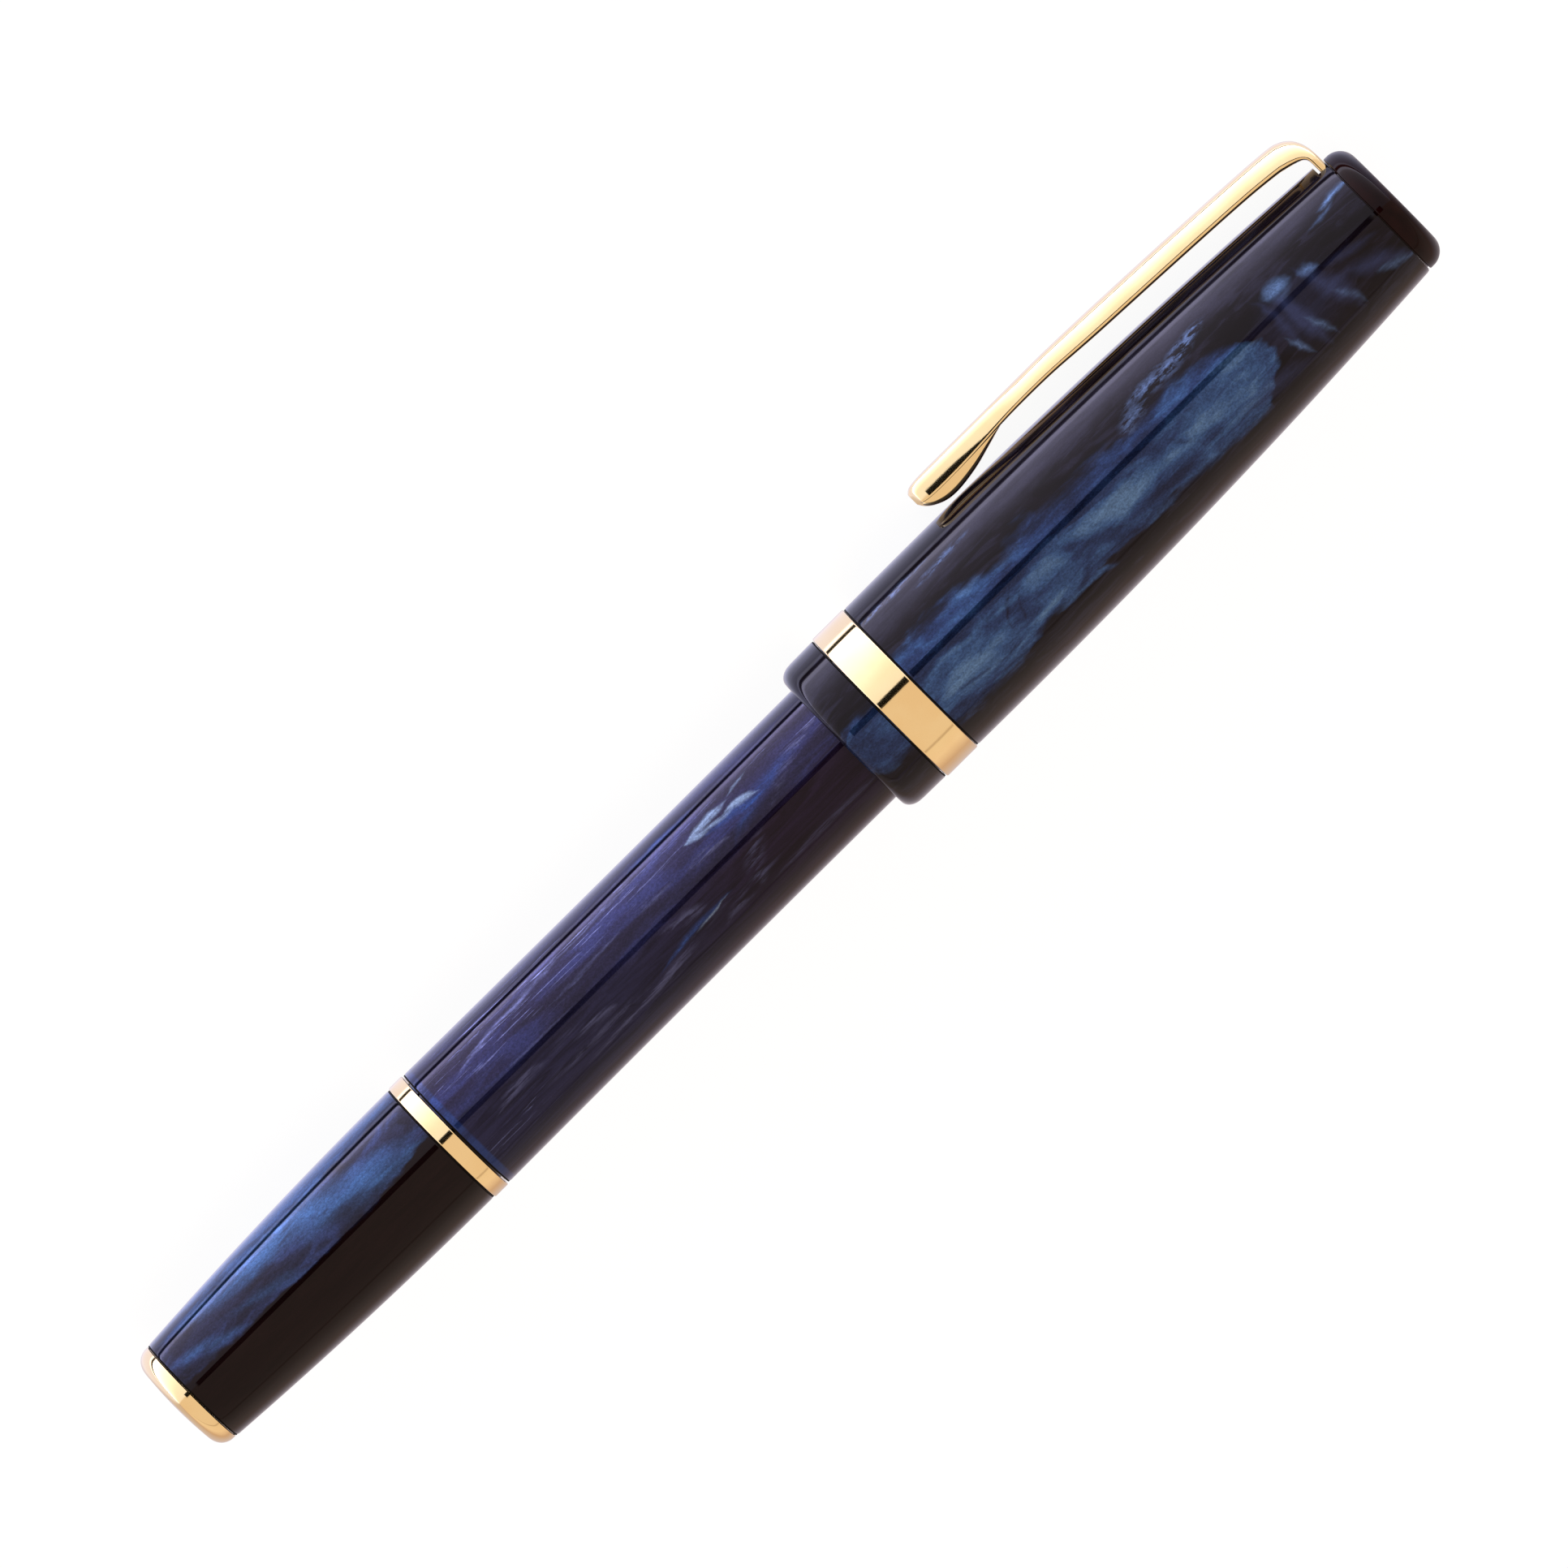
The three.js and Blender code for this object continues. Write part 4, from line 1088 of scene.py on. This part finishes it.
def piston():
    start, end = span("piston_seal")
    lip, waist, bore, bore_end = 2.83, 2.5, 2.05, 56
    outline = [
        (bore_end, 0),
        (bore_end, bore),
        (start, bore),
        (start, lip - 0.1),
        (start + 0.15, lip),
        (start + 0.7, lip),
        (start + 1.1, waist),
        (end - 1.8, waist),
        (end - 1.4, lip),
        (end - 0.8, lip),
        *rounded(end - 1.2, 1.6, 1.2, 80, 0, 8),
        (end, 0),
    ]
    fit(turned("seal", outline, 96), "piston", SEAL, "soft_seal", "piston_seal")


# ---- Cap ----

LIP_BORE = 6.35
TUBE_START = 77.6


def cap_lip():
    start, end = LIP
    round_front, stretch, bevel = 0.95, 1.4, 0.15
    outline = [
        (start + bevel, LIP_BORE),
        *rounded(start + bevel, LIP_BORE + bevel, bevel, 270, 180, 4),
        *rounded(start + 1.33, LIP_RADIUS - round_front, round_front, 180, 92, 14, stretch),
        *along(start + 1.5, end - 0.12, 6, lambda x: LIP_RADIUS + LIP_SLOPE * (x - start)),
        *shoulder(end, end - GROOVE, LIP_BACK),
        (end, BAND_BORE),
        (TUBE_START - 0.2, BAND_BORE),
        (TUBE_START - 0.2, LIP_BORE),
    ]
    fit(turned("lip", outline), "cap", CAP, "cap_resin", "cap_lip")


def cap_tube():
    start, end = CAP_START, CAP_END
    under_band, bore, root = BAND_BORE - 0.15, 5.55, 5.85 + THREAD_CREST
    recess, recess_floor = 4.85, 135.05
    stud_hole, ceiling = 2.35, 132.3
    outline = [
        (TUBE_START, under_band),
        (start, under_band),
        *reversed(shoulder(start, start + GROOVE, cap_radius(start))),
        *along(start + 0.3, end - 0.3, 48, cap_radius),
        *shoulder(end, end - 0.06, cap_radius(end)),
        (end, recess),
        (recess_floor, recess),
        (recess_floor, stud_hole),
        (ceiling, stud_hole),
        (ceiling, bore),
        (93, bore),
        (92.6, root),
        (88.2, root),
        *reversed(threaded(84.6, 87.8, root, -THREAD_CREST)),
        (84, root),
        (83.8, LIP_BORE),
        (TUBE_START, LIP_BORE),
    ]
    tube = turned("cap_shell", outline)
    half = CLIP_ROOT_HALF + 0.25
    notch = box_points((134.95, 137), (-half, half), (3.5, 8.5))
    fit(carve(tube, notch, BOX_FACES), "cap", CAP, "cap_resin", "cap_tube")


def finial_top():
    end, corner, bevel = FINIAL_END, 1.6, 0.12
    stud, stud_start = 2.15, 132.6
    seat, start, waist = CAP_END + 0.02, CAP_END + 0.12, FINIAL_RADIUS - 0.26
    outline = [
        (stud_start, 0),
        (stud_start, stud),
        (seat, stud),
        (seat, waist),
        (start, waist),
        (start, waist + 0.1),
        *rounded(start + bevel, FINIAL_RADIUS - bevel, bevel, 170, 95, 3),
        *rounded(end - corner, FINIAL_RADIUS - corner, corner, 85, 0, 16),
        (end, FINIAL_RADIUS - corner - 0.4),
        (end, 0),
    ]
    fit(turned("top", outline), "cap", FINIAL, "finial_resin", "finial")


# ---- Clip ----
# Side view from the tongue under the finial to the tip: x and height off the axis of the outer
# face and of the flanks' lower edge, then how far the underside stands below that edge.
CLIP_STATIONS = [
    (135.95, 4.7, 135.2, 4.7, 0),
    (135.95, 6.4, 135.2, 6.4, 0),
    (135.93, 7.1, 135.15, 6.9, 0),
    (135.85, 7.75, 134.95, 7.2, 0),
    (135.6, 8.5, 134.6, 7.4, -0.05),
    (135.15, 9.15, 134.1, 7.55, -0.2),
    (134.4, 9.65, 133.4, 7.72, -0.5),
    (133.2, 9.93, 132.4, 7.9, -0.9),
    (129, 10.22, 128.9, 8.22, -1.15),
    (121.2, 10.61, 121.2, 8.62, -1.15),
    (113.4, 10.92, 113.4, 8.98, -1.1),
    (108.8, 11.04, 108.8, 9.28, -0.9),
    (105.5, 11.04, 105.5, 9.34, -0.5),
    (103, 11.04, 103, 9.3, -0.05),
    (101, 11.04, 101, 9.2, 0.4),
    (99, 11.04, 99, 9.12, 0.86),
    (97, 11.04, 97, 9.08, 1.12),
    (95.6, 11.04, 95.6, 9.08, 1.08),
    (94.5, 11, 94.5, 9.14, 0.75),
    (93.8, 10.86, 93.8, 9.3, 0.4),
    (93.42, 10.55, 93.42, 9.6, 0.15),
]
CLIP_ROOT_HALF, CLIP_TIP_HALF = 2.6, 2.3
CLIP_TIP, CLIP_LENGTH = 93.3, 42
KEEL_FULL, KEEL_START = 97, 106
CROWN, CROWN_EDGE = 0.05, 82  # how far the top drops from its middle, and its slope's angle there
HALF_TURN = [math.pi / 2 * i / 8 for i in range(8)]


def catmull(rows, steps):
    """Rows of numbers joined by a smooth curve through them all."""
    smooth = []
    last = len(rows) - 1
    for i in range(last):
        a, b, c, d = (rows[max(0, i - 1)], rows[i], rows[i + 1], rows[min(last, i + 2)])
        for k in range(steps):
            t = k / steps
            smooth.append([
                0.5 * (2 * q + (r - p) * t + (2 * p - 5 * q + 4 * r - s) * t * t
                       + (3 * q - p - 3 * r + s) * t ** 3)
                for p, q, r, s in zip(a, b, c, d)
            ])
    smooth.append(list(rows[-1]))
    return smooth


def clip_half_width(x):
    """Half the clip's width at x, with the tip rounded off in its last 1.5 mm."""
    share = min(1, max(0, (x - CLIP_TIP) / CLIP_LENGTH))
    even = CLIP_TIP_HALF + (CLIP_ROOT_HALF - CLIP_TIP_HALF) * share
    to_tip = min(1, max(0.02, (x - CLIP_TIP + 0.05) / 1.5))
    return even * math.sqrt(1 - 0.9 * (1 - to_tip) ** 2)


def clip_section(outer_x, outer_z, edge_x, edge_z, keel):
    """A cross-section of the clip: crowned top, bowed flanks, and a channel or a keel below. Each
    side is a small foot, a wide flank and a corner, three arcs that run into one another."""
    half = clip_half_width(outer_x)
    depth = math.hypot(outer_x - edge_x, outer_z - edge_z)
    scale = min(depth / 1.8, half / 1.2)
    tip = 1 - smoothstep(outer_x, KEEL_FULL, KEEL_START)
    flank, foot = (1.9 + 6.4 * tip) * scale, (0.3 - 0.24 * tip) * scale
    start = math.radians(1 - 5 * (1 - tip))
    dip = foot + (flank - foot) * math.sin(start)
    centre = half - foot - (flank - foot) * math.cos(start)
    rise = max(0.03, 0.6 * depth - dip) / flank
    lean = min(26, math.degrees(math.asin(min(1, rise))))
    side = rounded(half - foot, foot, foot, -80, -math.degrees(start), 5)
    side += rounded(centre, dip, flank, -math.degrees(start), lean, 7)[1:]
    edge_y, edge_h = side[-1]
    out, up = math.cos(math.radians(lean)), math.sin(math.radians(lean))
    corner = (depth - CROWN * scale - edge_h) / (math.sin(math.radians(CROWN_EDGE)) - up)
    side += rounded(edge_y - corner * out, edge_h - corner * up, corner, lean, CROWN_EDGE, 6)[1:]
    top = side[-1][0]
    upper = side + [(top * t, depth - CROWN * scale * t * t) for t in (0.66, 0.33)]
    inner = half - min(0.6, half * 0.42)
    if keel > 0:
        under = [(inner * math.cos(a) ** 0.2, -keel * math.sin(a)) for a in HALF_TURN]
    else:
        under = [(inner * math.cos(a) ** 0.4, -keel * math.sin(a) ** 0.5) for a in HALF_TURN]
    right = list(reversed(upper)) + under
    loop = [(0, depth)] + right + [(0, -keel)] + [(-y, h) for y, h in reversed(right)]
    upward = ((outer_x - edge_x) / depth, (outer_z - edge_z) / depth)
    return [at(edge_x + upward[0] * h, y, edge_z + upward[1] * h) for y, h in loop]


def clip_arm():
    sections = [clip_section(*row) for row in catmull(CLIP_STATIONS, 6)]
    points = [point for section in sections for point in section]
    arm = mesh_object("clip_arm", points, capped_faces(len(sections), len(sections[0])))
    fit(arm, None, GOLD, "gold", "clip")
    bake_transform(arm)
    washer = turned("clip_washer", ring_outline(135.2, 135.95, 4.55, 2.3, 0.08), 96)
    fit(washer, "cap", GOLD, "gold", "clip_ring")


# ---- Build ----

tail_jewel()
tail_piece()
barrel_tube()
barrel_insert()
trim_rings()
seams()
grip()
nib_sheet()
nib_point()
feed_comb()
converter()
knob()
piston()
cap_lip()
cap_tube()
finial_top()
clip_arm()

CARRIED = {
    "nib_housing": BLACK,
    "inner_cap": BLACK,
    "inner_cap_retainer": BLACK,
    "drive_bush": BLACK,
    "piston_rod": BLACK,
    "inner_cap_seal": SEAL,
    "cap_spring": STEEL,
    "spring_seat": STEEL,
}
for node, material in CARRIED.items():
    paint(frame["nodes"][node], material)

# ---- Floor ----


def floor_material():
    n = material_nodes("floor")
    place = n.add("TexCoord").outputs["Object"]
    mottle = n.noise(place, 6, 3, 0.5)
    return n.finish(
        Base_Color=n.mix(n.ramp(mottle, 0.3, 0.7), (0.16, 0.16, 0.16, 1), (0.14, 0.14, 0.14, 1)),
        Roughness=0.8,
        Specular_IOR_Level=0.1,
        Emission_Color=(1, 1, 1, 1),
        Emission_Strength=0.93,
    )


reach = 8
corners = [(-reach, -reach, 0), (reach, -reach, 0), (reach, reach, 0), (-reach, reach, 0)]
floor = mesh_object("floor", corners, [(0, 1, 2, 3)])
paint(floor, floor_material())
floor.visible_glossy = False

# ---- Light ----
# The surroundings are soft panels round the pen: the angle round its axis from the camera's side,
# in degrees towards the clip, and the panel's colour there.
PANELS = [
    (-180, 0.7, 0.62, 0.66),
    (-146, 0.66, 0.55, 0.58),
    (-128, 0.66, 0.48, 0.4),
    (-118, 0.8, 0.62, 0.52),
    (-105, 0.93, 0.76, 0.64),
    (-85.2, 0.9, 0.74, 0.6),
    (-84, 0.6, 0.46, 0.36),
    (-82, 0.6, 0.46, 0.36),
    (-80.8, 0.87, 0.71, 0.58),
    (1, 0.87, 0.71, 0.58),
    (3, 1.05, 1.02, 1.1),
    (25, 1.2, 1.15, 1.2),
    (45, 1.5, 1.45, 1.6),
    (64, 1.9, 1.85, 2.1),
    (86, 2.4, 2.35, 2.7),
    (92.5, 2.9, 2.85, 3.3),
    (95, 4.8, 4.7, 5.8),
    (100.5, 5.2, 5.1, 6.3),
    (101.5, 0.02, 0.02, 0.02),
    (108, 0.02, 0.02, 0.02),
    (109, 1.9, 1.9, 2.5),
    (113, 1.9, 1.9, 2.5),
    (116, 1, 1, 1.4),
    (160, 1, 1, 1.35),
    (180, 0.7, 0.62, 0.66),
]
# A dark bar hides them on the camera's side: where its middle is, and half its width where it is
# darkest and where it ends.
BAR_MIDDLE, BAR_CORE, BAR_EDGE = (math.radians(degrees) for degrees in (2, 3.9, 4.6))


def surroundings():
    world = bpy.data.worlds.new("studio")
    bpy.context.scene.world = world
    n = Nodes(world)
    direction = n.add("TexCoord").outputs["Generated"]
    facing = n.vector("DOT_PRODUCT", direction, tuple(FACING))
    clipward = n.vector("DOT_PRODUCT", direction, tuple(CLIPWARD))
    turn = n.math("ARCTAN2", clipward, facing)
    share = n.plus(n.math("DIVIDE", turn, 2 * math.pi), 0.5)
    stops = [(0.5 + degrees / 360, (*colour, 1)) for degrees, *colour in PANELS]
    panels = n.gradient(share, stops)
    lengthwise = n.math("ABSOLUTE", n.vector("DOT_PRODUCT", direction, tuple(ALONG)))
    off = n.math("ABSOLUTE", n.math("SUBTRACT", turn, BAR_MIDDLE))
    edge = n.ramp(off, BAR_EDGE, BAR_CORE, 0, 0.99)
    bar = n.times(edge, n.ramp(lengthwise, 0.3, 0.22, 0, 1))
    panels = n.mix(bar, panels, (0, 0, 0, 1))
    rays = n.add("LightPath").outputs
    level = n.math("SUBTRACT", 1, n.times(rays["Is Diffuse Ray"], 0.5))
    lit = n.add("Background", {"Color": panels, "Strength": level})
    plain = n.add("Background", {"Color": (1, 1, 1, 1), "Strength": 0.98})
    shaders = {0: rays["Is Camera Ray"], 1: lit.outputs[0], 2: plain.outputs[0]}
    both = n.add("MixShader", shaders)
    n.set(n.tree.nodes["World Output"].inputs[0], both.outputs[0])


def soft_light(name, place, size, energy, colour=(1, 1, 1)):
    """A large lamp that lights surfaces without showing as a shape in the polish."""
    lamp = bpy.data.lights.new(name, "AREA")
    lamp.shape = "DISK"
    lamp.size = size
    lamp.energy = energy
    lamp.color = colour
    obj = new_object(name, lamp)
    obj.location = place
    obj.rotation_euler = (-Vector(place)).to_track_quat("-Z", "Y").to_euler()
    obj.visible_glossy = False


surroundings()
soft_light("fill_front", (0.1, 1.2, 0.25), 0.9, 6, (1, 0.98, 1))
soft_light("fill_top", (-0.2, -0.2, 1.4), 1.2, 3)

# ---- Camera: a long lens square to the pen, a degree towards its cap ----

IMAGE_TURN = math.radians(44.81)  # how far the pen's axis rises from the picture's width
FRAME_WIDTH = 0.12597
DISTANCE = 18.6 * FRAME_WIDTH
SENSOR = 36.0
AIM = at(70.0, 0, 1.09)

lens = bpy.data.cameras.new("camera")
lens.sensor_width = SENSOR
lens.lens = SENSOR * DISTANCE / FRAME_WIDTH
lens.clip_end = 50
camera = new_object("camera", lens)
lean = math.radians(1)
back = (FACING * math.cos(lean) + ALONG * math.sin(lean)).normalized()
axis_seen = (ALONG - back * ALONG.dot(back)).normalized()
clip_seen = back.cross(axis_seen)
right = axis_seen * math.cos(IMAGE_TURN) - clip_seen * math.sin(IMAGE_TURN)
up = axis_seen * math.sin(IMAGE_TURN) + clip_seen * math.cos(IMAGE_TURN)
turn = Matrix((right, up, back)).transposed().to_4x4()
camera.matrix_world = Matrix.Translation(AIM + back * DISTANCE) @ turn
bpy.context.scene.camera = camera
bpy.context.scene.view_settings.view_transform = "Standard"
